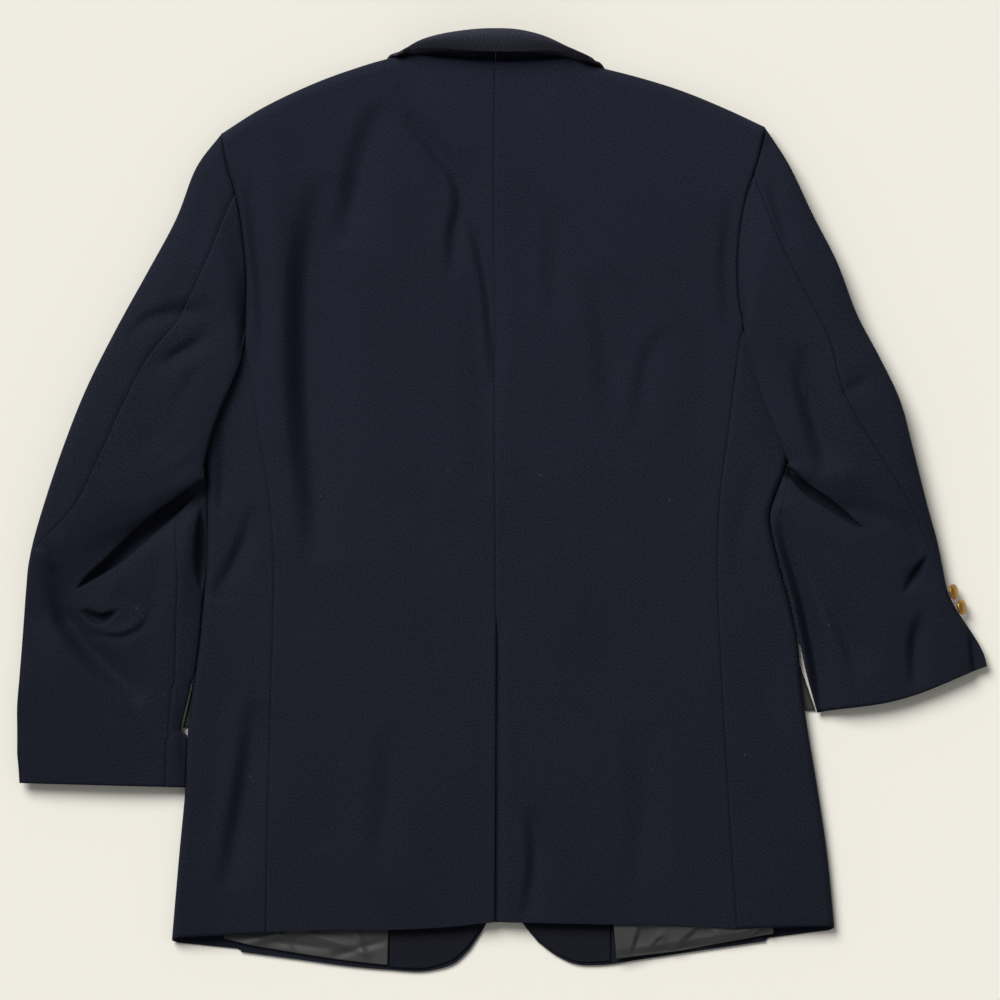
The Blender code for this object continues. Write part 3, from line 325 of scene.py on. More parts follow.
def beside_line(places, x, y):
    """Distance of each point from a smooth line, positive on its left, its share of the line's length, and
    the direction to the line's right."""
    line = through(places, np.linspace(0, 1, LINE_POINTS))
    step = np.diff(line, axis=0)
    span = np.linalg.norm(step, axis=1)
    heading = np.gradient(line, axis=0)
    heading /= np.linalg.norm(heading, axis=1, keepdims=True)
    flat = np.stack([x.ravel(), y.ravel()], axis=1)
    near = np.abs(flat - line.mean(axis=0)).max(axis=1) < NEAR_SHARE * span.sum() + NEAR_MORE
    away, along = np.full(len(flat), 1e3), np.zeros(len(flat))
    best = np.linalg.norm(flat[near][:, None] - line[None], axis=2).argmin(axis=1)
    offset, towards = flat[near] - line[best], heading[best]
    away[near] = towards[:, 0] * offset[:, 1] - towards[:, 1] * offset[:, 0]
    along[near] = best / (len(line) - 1) + (towards * offset).sum(axis=1) / span.sum()
    rightward = np.zeros_like(flat)
    rightward[near] = np.stack([towards[:, 1], -towards[:, 0]], axis=1)
    return away.reshape(x.shape), np.clip(along, 0, 1).reshape(x.shape), rightward.reshape(*x.shape, 2)


def bands_at(bands, x, y):
    """Sum of lopsided folds: each stands proud on its line's left, drops across the line, and climbs back
    on its right as a bell of the distance."""
    total = np.zeros_like(x)
    for places, depth, reach, rise, half_drop in bands:
        away, along, _ = beside_line(places, x, y)
        below = np.exp(-((np.minimum(away, 0) / reach) ** 2)) * ease(half_drop, -half_drop, away)
        above = np.exp(-((np.maximum(away, 0) / reach) ** 2)) * ease(-half_drop, half_drop, away)
        total += np.sin(np.pi * along) ** BAND_END_POWER * (rise * above - depth * below)
    return total


def slots_at(slots, x, y):
    """Slots where cloth has doubled over, steep on both sides and widest halfway: their heights, and how far
    the proud side leans out over them."""
    height, lean = np.zeros_like(x), np.zeros((*x.shape, 2))
    for places, depth, half_width, rise, overhang in slots:
        away, along, rightward = beside_line(places, x, y)
        swell = np.sin(np.pi * along) ** SLOT_END_POWER
        edge = half_width * swell
        open_part = ease(edge + SLOT_WALL, edge - SLOT_WALL, np.abs(away))
        proud = ease(-SLOT_WALL, SLOT_WALL, away - edge)
        falling = proud * np.exp(-((np.maximum(away - edge, 0) / SLOT_RISE_REACH) ** 2))
        height += swell * (rise * falling - depth * open_part)
        lean += (overhang * swell * falling)[..., None] * rightward
    return height, lean


# %% Heights of back, fronts and sleeves
def body_height(x, y):
    """Height of the back: side height plus a crown that falls off as the square of the distance from the
    centre seam, plus the largest folds."""
    knots = column(HEIGHT_ROWS, HEIGHT_COLUMNS, "y")
    centre = smooth_table(knots, column(HEIGHT_ROWS, HEIGHT_COLUMNS, "centre"), y)
    side = smooth_table(knots, column(HEIGHT_ROWS, HEIGHT_COLUMNS, "side"), y)
    share = np.clip(np.abs(x - CENTRE_X) / HALF_BODY, 0, 1)
    return side + (centre - side) * (1 - share**2) + folds_at(BACK_FOLDS, x, y)


def front_lift(side, x, y):
    """How far a front's underside is off the ground: the highest of its plateaus, each with eased sides."""
    lift = np.zeros_like(x)
    for low_x, high_x, low_y, high_y, ramp, height in LIFTS:
        across = ease(low_x - ramp, low_x, x) * ease(high_x + ramp, high_x, x)
        along = ease(low_y - ramp, low_y, y) * ease(high_y + ramp, high_y, y)
        lift = np.maximum(lift, height * across * along)
    if side == "right":
        over = ease(OVERLAP_X + OVERLAP_RAMP, OVERLAP_X, x)
        over = over * ease(OVERLAP_HIGH_Y + OVERLAP_RAMP, OVERLAP_HIGH_Y, y)
        over = over * ease(OVERLAP_LOW_Y - OVERLAP_RAMP, OVERLAP_LOW_Y, y)
        lift = np.maximum(lift, over * (front_lift("left", x, y) + FRONT_WALL + OVERLAP_CLEARANCE))
    return lift


def sleeve_base(side, x, y, on_body):
    """Height of a sleeve's underside: on the body's side under its inner part, else on the ground."""
    way = 1 if side == "left" else -1
    inside = way * (x - edge_table(EDGE_ROWS, side, y))
    across = ease(-BODY_RAMP[0], -BODY_RAMP[1], inside)
    underarm = UNDERARM_Y[side]
    along = ease(underarm + UNDERARM_RAMP[1], underarm + UNDERARM_RAMP[0], y)
    seat = body_height(np.clip(x, -SEAT_LIMIT[0], SEAT_LIMIT[0]), np.minimum(y, SEAT_LIMIT[1]))
    return (seat + SLEEVE_CLEARANCE) * across * along * on_body


print("height at the middle of the back:", round(float(body_height(np.array(100.0), np.array(0.0))), 2), "mm")

# %% [markdown]
# ## Shells and finishes
#
# A piece of cloth is a grid of points with a second grid a cloth's thickness inside it, joined round the
# rim, so it is a closed shell. Each point also keeps how far it lies along and across the cloth, in
# metres, as its UV place: the weave is drawn on those, so it follows the cloth round every fold.

# %% Grids into meshes
def grid_normals(grid):
    """Unit normals of a grid: the cross product of the directions of its columns and rows."""
    normals = np.cross(np.gradient(grid, axis=1), np.gradient(grid, axis=0))
    return normals / np.maximum(np.linalg.norm(normals, axis=2, keepdims=True), 1e-9)


def cloth_places(grid):
    """Distances along the middle row and the middle column of a grid, in metres, as flat places."""
    rows, columns = grid.shape[:2]
    along = np.linalg.norm(np.diff(grid, axis=0), axis=2)[:, columns // 2]
    across = np.linalg.norm(np.diff(grid, axis=1), axis=2)
    v = np.concatenate([[0.0], np.cumsum(along)])[:, None] * np.ones(columns)
    u = np.concatenate([np.zeros((rows, 1)), np.cumsum(across, axis=1)], axis=1)
    u = u - u[:, columns // 2][:, None]
    return np.stack([u, v], axis=-1) * MM


def shell(name, outer, inner, looks, inner_look=None):
    """A closed shell between two grids: outer faces, inner faces and a rim, with its UV places."""
    rows, columns = outer.shape[:2]
    count = rows * columns
    number = np.arange(count).reshape(rows, columns)
    quads = np.stack([number[:-1, :-1], number[1:, :-1], number[1:, 1:], number[:-1, 1:]], axis=-1)
    quads = quads.reshape(-1, 4)
    loop = np.concatenate([number[0, :-1], number[:-1, -1], number[-1, :0:-1], number[:0:-1, 0]])
    following = np.roll(loop, -1)
    rim = np.stack([loop, following, following + count, loop + count], axis=-1)
    faces = np.concatenate([quads, quads[:, ::-1] + count, rim])
    points = np.concatenate([outer.reshape(-1, 3), inner.reshape(-1, 3)])
    a, b, c, d = (points[faces[:, n]] for n in range(4))
    volume = np.einsum("ij,ij->i", a, np.cross(b, c) + np.cross(c, d)).sum()
    if volume < 0:
        faces = faces[:, ::-1]
    places = cloth_places(outer).reshape(-1, 2)
    look = np.zeros(len(faces), int)
    if inner_look is not None:
        look[len(quads):2 * len(quads)] = inner_look.reshape(-1)
    return finished_mesh(name, points, faces, np.concatenate([places, places]), looks, look)


def finished_mesh(name, points, faces, places, looks, look):
    """A mesh object from arrays of points, four-sided faces, UV places and each face's finish."""
    mesh = bpy.data.meshes.new(name)
    mesh.vertices.add(len(points))
    mesh.vertices.foreach_set("co", (points * MM).ravel())
    mesh.loops.add(faces.size)
    mesh.loops.foreach_set("vertex_index", faces.ravel().astype(np.int32))
    mesh.polygons.add(len(faces))
    mesh.polygons.foreach_set("loop_start", np.arange(0, faces.size, 4, dtype=np.int32))
    mesh.polygons.foreach_set("material_index", look.astype(np.int32))
    mesh.update(calc_edges=True)
    mesh.uv_layers.new(name="cloth").data.foreach_set("uv", places[faces.ravel()].ravel())
    for finish in looks:
        mesh.materials.append(finish)
    mesh.shade_smooth()
    obj = bpy.data.objects.new(name, mesh)
    bpy.context.scene.collection.objects.link(obj)
    return obj


def crowded(width, count, low=True, high=True):
    """Shares from 0 to 1 across a panel of this width, close together at edges that are seams."""
    close = np.array([0.0, 0.5, 1.0, 1.6, 2.3, 3.2, 4.5]) / width
    start, end = close if low else np.zeros(1), 1 - close[::-1] if high else np.ones(1)
    middle = np.linspace(start[-1], end[0], count - len(start) - len(end) + 2)[1:-1]
    return np.concatenate([start, middle, end])


def sunk(distance, depth=0.7, width=1.3):
    """Depth of a seam's valley at a distance from it: a bell."""
    return depth * np.exp(-((distance / width) ** 2))


# %% Finish helpers
def linear(colour):
    """Linear values of an sRGB hex colour: ((c + 0.055) / 1.055) to the power 2.4, or c / 12.92 near 0."""
    parts = np.array([int(colour[n:n + 2], 16) for n in (1, 3, 5)]) / 255
    values = np.where(parts <= 0.04045, parts / 12.92, ((parts + 0.055) / 1.055) ** 2.4)
    return (*values.tolist(), 1.0)


def add_node(tree, kind, settings=None, **inputs):
    """Adds a node with its settings, and sets or links each named input."""
    made = tree.nodes.new(kind)
    for key, value in (settings or {}).items():
        setattr(made, key, value)
    for key, value in inputs.items():
        socket = made.inputs[int(key[1:])] if key[0] == "n" and key[1:].isdigit() else made.inputs[
            key.replace("_", " ")]
        if isinstance(value, bpy.types.NodeSocket):
            tree.links.new(value, socket)
        else:
            socket.default_value = value
    return made


def new_finish(name, roughness, metallic=0.0):
    """An empty Principled material, its node tree and its shader."""
    made = bpy.data.materials.new(name)
    made.use_nodes = True
    shader = made.node_tree.nodes["Principled BSDF"]
    shader.inputs["Roughness"].default_value = roughness
    shader.inputs["Metallic"].default_value = metallic
    return made, made.node_tree, shader


# %% [markdown]
# ### Worsted wool
#
# The cloth is worsted wool in a fine twill, dyed almost black with blue in it and pressed. The threads
# are 0.4 mm apart, too fine for a picture in which a pixel is 0.9 mm, so the twill is drawn 2.2 mm apart
# and faint. What the eye does see is a grain of slightly lighter and darker yarn, a dusting of lint, and
# a soft sheen where the cloth turns away.
#
# Its colour is also painted darker with the place on the jacket, towards the hem and towards the sleeves:
# painted shade for the light that it is matched to, which falls off there. There are three finishes: body
# and sleeves, a lighter one for the collar as painted light, and a darker one for the facings as painted
# shade.

# %% Worsted wool
TWILL_MM, GRAIN_MM, CLOUD_MM, LINT_MM, LINT_SPREAD = 2.2, 1.7, 90.0, 4.5, 9
WAVE_SCALE = 0.314  # a wave texture's scale times the distance between its bands
# Painted shade: the wool's colour is darkened towards the hem and towards the sleeves, standing in for light
# that falls off there.
HEM_PAINTED_SHADE, HEM_PAINTED_SHADE_Y = 0.71, (-0.42, 0.36)  # darkest share, and between which y it rises to 1
SLEEVE_PAINTED_SHADE, SLEEVE_PAINTED_SHADE_X = 0.84, (0.2, 0.42)  # darkest share, and between which x it falls from 1


def worsted_wool(name, dark, light, sheen):
    """Navy wool: two close colours mixed by yarn grain and clouding, a twill bump, lint and sheen, and
    painted shade that darkens it towards the hem and the sleeves."""
    made, tree, shader = new_finish(name, 0.82)
    cloth = add_node(tree, "ShaderNodeUVMap", {"uv_map": "cloth"}).outputs["UV"]
    grain = add_node(tree, "ShaderNodeTexNoise", Vector=cloth, Scale=1 / (GRAIN_MM * MM), Detail=3.0,
                     Roughness=0.7)
    cloud = add_node(tree, "ShaderNodeTexNoise", Vector=cloth, Scale=1 / (CLOUD_MM * MM), Detail=2.0)
    both = add_node(tree, "ShaderNodeMath", {"operation": "MULTIPLY_ADD"}, n0=cloud.outputs["Fac"], n1=0.1,
                    n2=grain.outputs["Fac"])
    share = add_node(tree, "ShaderNodeMapRange", n0=both.outputs[0], n1=0.33, n2=0.83, n3=0.0, n4=1.0)
    yarn = add_node(tree, "ShaderNodeMix", {"data_type": "RGBA"}, n0=share.outputs[0], n6=linear(dark),
                    n7=linear(light))
    flecks = add_node(tree, "ShaderNodeTexVoronoi", {"distance": "EUCLIDEAN"}, Vector=cloth,
                      Scale=1 / (LINT_MM * MM * LINT_SPREAD))
    lint = add_node(tree, "ShaderNodeMapRange", n0=flecks.outputs["Distance"], n1=0.022, n2=0.012, n3=0.0,
                    n4=0.18)
    dusted = add_node(tree, "ShaderNodeMix", {"data_type": "RGBA"}, n0=lint.outputs[0],
                      n6=yarn.outputs[2], n7=linear("#8a8d96"))
    # Painted shade: the colour is scaled darker towards the hem and towards the sleeves.
    place = add_node(tree, "ShaderNodeTexCoord").outputs["Object"]
    parts = add_node(tree, "ShaderNodeSeparateXYZ", Vector=place).outputs
    shade_to_hem = add_node(tree, "ShaderNodeMapRange", n0=parts["Y"], n1=HEM_PAINTED_SHADE_Y[0], n2=HEM_PAINTED_SHADE_Y[1],
                      n3=HEM_PAINTED_SHADE, n4=1.0)
    beside = add_node(tree, "ShaderNodeMath", {"operation": "ABSOLUTE"}, n0=parts["X"])
    shade_to_sleeves = add_node(tree, "ShaderNodeMapRange", n0=beside.outputs[0], n1=SLEEVE_PAINTED_SHADE_X[0],
                       n2=SLEEVE_PAINTED_SHADE_X[1], n3=1.0, n4=SLEEVE_PAINTED_SHADE)
    # tone is the painted shade, the product of both darkening ramps.
    tone = add_node(tree, "ShaderNodeMath", {"operation": "MULTIPLY"}, n0=shade_to_hem.outputs[0],
                    n1=shade_to_sleeves.outputs[0])
    painted_shaded = add_node(tree, "ShaderNodeVectorMath", {"operation": "SCALE"}, n0=dusted.outputs[2],
                     Scale=tone.outputs[0])
    tree.links.new(painted_shaded.outputs[0], shader.inputs["Base Color"])
    twill = add_node(tree, "ShaderNodeTexWave", {"bands_direction": "DIAGONAL"}, Vector=cloth,
                     Scale=WAVE_SCALE / (TWILL_MM * MM), Distortion=1.2, Detail=1.0)
    weave = add_node(tree, "ShaderNodeMath", {"operation": "MULTIPLY_ADD"}, n0=twill.outputs["Fac"], n1=0.35,
                     n2=grain.outputs["Fac"])
    bump = add_node(tree, "ShaderNodeBump", Height=weave.outputs[0], Strength=0.35, Distance=0.5 * MM)
    tree.links.new(bump.outputs["Normal"], shader.inputs["Normal"])
    shader.inputs["Sheen Weight"].default_value = sheen
    shader.inputs["Sheen Roughness"].default_value = 0.45
    shader.inputs["Sheen Tint"].default_value = linear("#8f9ab8")
    shader.inputs["Specular IOR Level"].default_value = 0.12
    return made


wool = worsted_wool("worsted_wool_navy", "#0c0e17", "#24283b", 0.03)
# The collar's copy of the wool is painted lighter, as painted light.
painted_light_collar_wool = worsted_wool("worsted_wool_navy_collar_painted_light", "#1d1e28", "#424352", 0.05)
# The facings' copy of the wool is painted darker, as painted shade.
painted_shade_facing_wool = worsted_wool("worsted_wool_navy_inside_painted_shade", "#0c0c14", "#232534", 0.02)

# %% [markdown]
# ### Satin lining and brass
#
# The lining is grey viscose satin: smooth floats of thread that shine along one direction, so its folds
# have soft streaks of light. The buttons are pressed from brass sheet, domed, a little tarnished in the
# hollows, and plain here.

# %% Satin and brass
RIB_MM, SATIN_CLOUD_MM, STAIN_MM = 1.4, 30, 5


def satin_lining(name, colour, lighter):
    """Grey satin: two close greys in slow clouds, fine ribs along the warp and a faint sheen."""
    made, tree, shader = new_finish(name, 0.55)
    cloth = add_node(tree, "ShaderNodeUVMap", {"uv_map": "cloth"}).outputs["UV"]
    ribs = add_node(tree, "ShaderNodeTexWave", {"bands_direction": "X"}, Vector=cloth,
                    Scale=WAVE_SCALE / (RIB_MM * MM), Distortion=2.0)
    bump = add_node(tree, "ShaderNodeBump", Height=ribs.outputs["Fac"], Strength=0.12, Distance=0.2 * MM)
    tree.links.new(bump.outputs["Normal"], shader.inputs["Normal"])
    tone = add_node(tree, "ShaderNodeTexNoise", Vector=cloth, Scale=1 / (SATIN_CLOUD_MM * MM), Detail=2.0)
    mixed = add_node(tree, "ShaderNodeMix", {"data_type": "RGBA"}, n0=tone.outputs["Fac"], n6=linear(colour),
                     n7=linear(lighter))
    tree.links.new(mixed.outputs[2], shader.inputs["Base Color"])
    shader.inputs["Sheen Weight"].default_value = 0.1
    return made


def domed_brass(name):
    """Polished brass with faint brown tarnish, whose roughness goes with the stains."""
    made, tree, shader = new_finish(name, 0.28, 1.0)
    at = add_node(tree, "ShaderNodeTexCoord").outputs["Object"]
    stain = add_node(tree, "ShaderNodeTexNoise", Vector=at, Scale=1 / (STAIN_MM * MM), Detail=4.0)
    mixed = add_node(tree, "ShaderNodeMix", {"data_type": "RGBA"}, n0=stain.outputs["Fac"],
                     n6=linear("#c79a55"), n7=linear("#8d6a38"))
    tree.links.new(mixed.outputs[2], shader.inputs["Base Color"])
    dull = add_node(tree, "ShaderNodeMapRange", n0=stain.outputs["Fac"], n1=0.3, n2=0.7, n3=0.2, n4=0.42)
    tree.links.new(dull.outputs[0], shader.inputs["Roughness"])
    return made


lining = satin_lining("satin_lining_grey", "#222224", "#303032")
brass = domed_brass("pressed_brass")
print("finishes:", [finish.name for finish in (wool, painted_light_collar_wool, painted_shade_facing_wool, lining, brass)])

# %% [markdown]
# ## Joining pieces to the imported model
#
# Each new piece rides on the body and stands for its solid.


def lay(obj, node):
    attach(obj, "root")
    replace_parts(obj, node)


# %% [markdown]
# ## The back
#
# The back is cut in two halves that meet in a centre seam, with a vent at the bottom where the left half
# lies over the right. Its grid runs between four curves: the neck and shoulder, the centre seam, the
# armhole with the side seam, and the hem. The shoulder edge rolls down to meet the front.

# %% Panels between four curves
def patch(top, bottom, inner, outer, across, down):
    """A Coons patch: both blends of opposite edges added, less the blend of the four corners."""
    above, below = through(top, across)[None], through(bottom, across)[None]
    near, far = through(inner, down)[:, None], through(outer, down)[:, None]
    u, v = across[None, :, None], down[:, None, None]
    corners = (1 - v) * ((1 - u) * above[:, :1] + u * above[:, -1:]) + v * (
        (1 - u) * below[:, :1] + u * below[:, -1:])
    return (1 - v) * above + v * below + (1 - u) * near + u * far - corners


def armhole_and_seam(side, rows, hem_y, inset):
    """Armhole, then a long seam down to the hem, the seam moved towards the centre by the inset."""
    way = 1 if side == "left" else -1
    armhole = through(ARMHOLE[side], np.linspace(0, 1, 13))
    ys = np.linspace(UNDERARM_Y[side] - 8, hem_y, 22)
    seam = np.stack([edge_table(rows, side, ys) + way * inset, ys], axis=1)
    return np.concatenate([armhole, seam])


def rounded_rows(count, length, turn_steps=9):
    """Shares down a panel: round the shoulder as 1 - cos of the turn, then evenly, then close together at
    the hem. With them comes the sine of the turn, which is 1 from the shoulder down."""
    turn = np.linspace(0, np.pi / 2, turn_steps)
    rounded = SHOULDER_ROUND * (1 - np.cos(turn)) / length
    even = np.linspace(0, 1, count - turn_steps - 3)[1:-1]
    hem = 1 - np.array([3.0, 1.8, 1.0, 0.4, 0.0]) / length
    plain = rounded[-1] + (hem[0] - rounded[-1]) * even
    shares = np.concatenate([rounded, plain, hem])
    return shares, np.concatenate([np.sin(turn), np.ones(len(shares) - turn_steps)])


def slope_along_shoulder(x, y):
    """Height of the line where back and front meet: half of the shoulder's, and a little more."""
    return SHOULDER_LINE_RISE + body_height(x, y) / 2


def lined_inside(outer):
    """1 for inner faces further up from the hem than its turned edge, which have the lining's finish."""
    return ((outer[:-1, :-1, 1] - outer[-1:, :-1, 1]) > HEM_TURN).astype(int)


# %% The two halves of the back
BACK_GRID, BACK_WIDTH = (100, 250), 215
SHOULDER_X, DETAIL_TOP_Y, DETAIL_RAMP = (62, 92), 402, 30
VENT_TOP_Y, VENT_RAMP = -100.0, 26.0
VENT_DIP, VENT_DIP_REACH = 3.5, 5.5
VENT_RIDGE, VENT_RIDGE_REACH, VENT_LIP, VENT_LIP_REACH = 0.7, 9, 0.8, 0.8
NECK_DIP_Y, NECK_DIP_CURVE, NECK_DIP_HALF = 392.4, 8.5, 90
NECK_DIP, NECK_DIP_RAMP, NECK_DIP_END = 7.5, 4.5, (95, 84)
TRENCH_RAMP = (-10, 25)
UNEVEN_BACK, UNEVEN_SLEEVE = 0.12, 0.15
ARMHOLE_TRENCH = {"left": (2.4, 1.9), "right": (1.2, 1.5)}


def body_detail(x, y):
    """Small creases, and a slow unevenness of a few tenths of a millimetre as crossed sine waves."""
    slow = UNEVEN_BACK * np.sin(x / 31 + 1.3 * np.sin(y / 83)) * np.sin(y / 57 + 0.8 * np.sin(x / 67))
    return folds_at(BACK_CREASES, x, y) + bands_at(BACK_BANDS, x, y) + slow


def back_half(side):
    """Half of the back, with sunken seams, the vent's overlap and the rolled shoulder."""
    way = -1 if side == "left" else 1
    top = [*NECK_SEAM[side], NECK_POINT[side], *SHOULDER[side], ARMHOLE[side][0]]
    across = crowded(BACK_WIDTH, BACK_GRID[0])
    down, rise = rounded_rows(BACK_GRID[1], BACK_LENGTH)
    outer_curve = armhole_and_seam(side, SIDE_SEAM_ROWS, SIDE_HEM[side][0], SEAM_GAP)
    plan = patch(top, BACK_HEM[side], CENTRE_SEAM, outer_curve, across, down)
    plan[..., 0] += way * SEAM_GAP / 2 * (1 - across)
    x, y = plan[..., 0], plan[..., 1]
    rounded = (rise < 1).sum()
    height = body_height(x, y)
    shoulder = ease(*SHOULDER_X, np.abs(plan[0, :, 0] - CENTRE_X))
    seam = slope_along_shoulder(plan[0, :, 0], plan[0, :, 1])
    height[:rounded] -= (height[:rounded] - seam) * shoulder * (1 - rise[:rounded, None])
    height = height + body_detail(x, y) * ease(0, DETAIL_RAMP, DETAIL_TOP_Y - y)
    below_collar = y - NECK_DIP_Y - NECK_DIP_CURVE * (x / NECK_DIP_HALF) ** 2
    height -= NECK_DIP * ease(0, NECK_DIP_RAMP, below_collar) * ease(*NECK_DIP_END, np.abs(x))
    from_centre = np.abs(x - plan[:, :1, 0])
    from_side = np.linalg.norm(plan - plan[:, -1:], axis=2)
    vent = ease(VENT_TOP_Y, VENT_TOP_Y - VENT_RAMP, y)
    on_armhole = ease(UNDERARM_Y[side] + TRENCH_RAMP[0], UNDERARM_Y[side] + TRENCH_RAMP[1], y)
    height -= sunk(from_centre) * (1 - vent) + sunk(from_side)
    height -= on_armhole * sunk(from_side, *ARMHOLE_TRENCH[side])
    if side == "right":
        height -= VENT_DIP * vent * np.exp(-((from_centre / VENT_DIP_REACH) ** 2))
    else:
        ridge = VENT_RIDGE * vent * np.exp(-((from_centre / VENT_RIDGE_REACH) ** 2))
        height += ridge - VENT_LIP * vent * np.exp(-from_centre / VENT_LIP_REACH)
    outer = np.stack([x, y, height], axis=-1)
    normals = grid_normals(outer)
    normals *= np.sign(normals[..., 2].mean())
    level = shoulder > 0.9
    normals[0, level, 2] = 0
    normals[0] /= np.linalg.norm(normals[0], axis=1, keepdims=True)
    inner = outer - BACK_SHELL * normals
    made = shell("back_" + side + "_cloth", outer, inner, (wool, lining), lined_inside(outer))
    lay(made, "back_" + side)


for side in SIDES:
    back_half(side)

# %% [markdown]
# ## The side bodies
#
# A narrow panel joins each half of the back to its front. It lies flat on top, rolls round the body's
# folded edge and runs on underneath, so its section is two straight runs joined by half a circle.

# %% The side bodies
SIDE_STEPS = (22, 17, 20, 170)  # columns on top, round the edge and below, and rows
SIDE_TOP_WIDTH, SIDE_BELOW_WIDTH, SIDE_LIFT_INSET = 70, 60, 8
SIDE_DROPS = (4.0, 22.0, 34.0)  # of the upper edge below the underarm: side seam, folded edge, front seam


def side_body(side):
    """From the side seam over the top, round the folded edge as half a circle, and under to the front."""
    way = 1 if side == "left" else -1
    on_top_steps, arc_steps, below_steps, rows = SIDE_STEPS
    on_top = 1 - crowded(SIDE_TOP_WIDTH, on_top_steps + 1, high=False)[:-1]
    turn = np.linspace(np.pi / 2, -np.pi / 2, arc_steps)
    below = crowded(SIDE_BELOW_WIDTH, below_steps + 1, low=False)[1:]
    tops, count = len(on_top), len(on_top) + arc_steps + len(below)
    travel = np.linspace(0, 1, count)
    start_y = UNDERARM_Y[side] - smooth_table([0, 0.5, 1], SIDE_DROPS, travel)
    end_y = smooth_table([0, 0.5, 1], SIDE_HEM[side], travel)
    down = np.linspace(0, 1, rows)[:, None]
    y = start_y + (end_y - start_y) * down
    edge = edge_table(EDGE_ROWS, side, y)
    lift = front_lift(side, edge + way * SIDE_LIFT_INSET, y)
    radius = (body_height(edge, y) - lift) / 2
    middle, centre_z = edge + way * radius, lift + radius
    seam = edge_table(SIDE_SEAM_ROWS, side, y)
    x, z = np.empty_like(y), np.empty_like(y)
    arc, under = slice(tops, tops + arc_steps), slice(tops + arc_steps, count)
    x[:, :tops] = middle[:, :tops] + (seam - middle)[:, :tops] * on_top
    z[:, :tops] = body_height(x[:, :tops], y[:, :tops])
    flat = (centre_z + radius)[:, :tops]
    z[:, :tops] = flat + (z[:, :tops] - flat) * ease(0, 1, on_top)
    x[:, arc] = middle[:, arc] - way * radius[:, arc] * np.cos(turn)
    z[:, arc] = centre_z[:, arc] + radius[:, arc] * np.sin(turn)
    reach = edge_table(FRONT_SEAM_ROWS, side, y[:, under]) - way * SEAM_GAP / 2 - middle[:, under]
    x[:, under] = middle[:, under] + reach * below
    z[:, under] = front_lift(side, x[:, under], y[:, under])
    from_seam = np.abs(x - x[:, :1])
    fade = np.ones(count)
    fade[arc] = np.clip(np.sin(turn), 0, 1)
    fade[under] = 0
    z = z + (body_detail(x, y) - sunk(from_seam)) * fade
    outer = np.stack([x, y, z], axis=-1)
    run = np.gradient(outer, axis=1)
    normals = np.stack([run[..., 2], np.zeros_like(z), -run[..., 0]], axis=-1)
    normals /= np.linalg.norm(normals, axis=2, keepdims=True)
    normals *= np.sign(normals[0, 0, 2])
    inner = outer - BACK_SHELL * normals
    made = shell("side_" + side + "_cloth", outer, inner, (wool, lining), lined_inside(outer))
    lay(made, "side_" + side)


for side in SIDES:
    side_body(side)

# %% [markdown]
# ## The fronts
#
# The blazer lies on its fronts, the left one lapped over the right as it is worn. Only their hems show
# from above, but from below they are the whole jacket: roll line, closing edge and curved hem corner.

# %% The fronts
FRONT_GRID, FRONT_WIDTH = (70, 190), 200
FRONT_SEAM_DEPTH, THICK_HEM_Y = 0.6, (-330, -360)


def front(side):
    """A front between shoulder, roll line and closing edge, armhole and side seam, and curved hem."""
    top = [NECK_POINT[side], *SHOULDER[side], ARMHOLE[side][0]]
    inner = [NECK_POINT[side], *FRONT_EDGE[side]]
    outer_curve = armhole_and_seam(side, FRONT_SEAM_ROWS, FRONT_HEM[side][-1][1], SEAM_GAP)
    across = crowded(FRONT_WIDTH, FRONT_GRID[0])
    down, rise = rounded_rows(FRONT_GRID[1], FRONT_LENGTH)
    plan = patch(top, [*FRONT_HEM[side][:-1], outer_curve[-1]], inner, outer_curve, across, down)
    x, y = plan[..., 0], plan[..., 1]
    rounded = (rise < 1).sum()
    height = front_lift(side, x, y)
    seam = slope_along_shoulder(plan[0, :, 0], plan[0, :, 1]) - SEAM_GAP
    height[:rounded] += (seam - height[:rounded]) * (1 - rise[:rounded, None])
    height += sunk(np.linalg.norm(plan - plan[:, -1:], axis=2), FRONT_SEAM_DEPTH)
    outer = np.stack([x, y, height], axis=-1)
    normals = grid_normals(outer)
    normals *= -np.sign(normals[..., 2].mean())
    normals[0, :, 2] = 0
    normals[0] /= np.linalg.norm(normals[0], axis=1, keepdims=True)
    thick = FRONT_SHELL + (FRONT_WALL - FRONT_SHELL) * ease(*THICK_HEM_Y, y)[..., None]
    made = shell("front_" + side + "_cloth", outer, outer - thick * normals, (wool,))
    lay(made, "front_" + side)


for side in SIDES:
    front(side)

# %% [markdown]
# ## The sleeves
#
# A jacket sleeve is cut in two pieces, so that it bends at the elbow. Laid out, the under sleeve faces up
# and the top sleeve wraps round below it. A section across the sleeve is a flattened ring: its angle runs
# from the outer edge over the top to the inner edge and back below.

# %% Rings of a sleeve
def sleeve_values(side, at):
    """The nine sleeve values at fractional row numbers, smooth from row to row."""
    rows = np.array(SLEEVE_ROWS[side], float)
    return smooth_table(np.arange(len(rows)), rows, at)


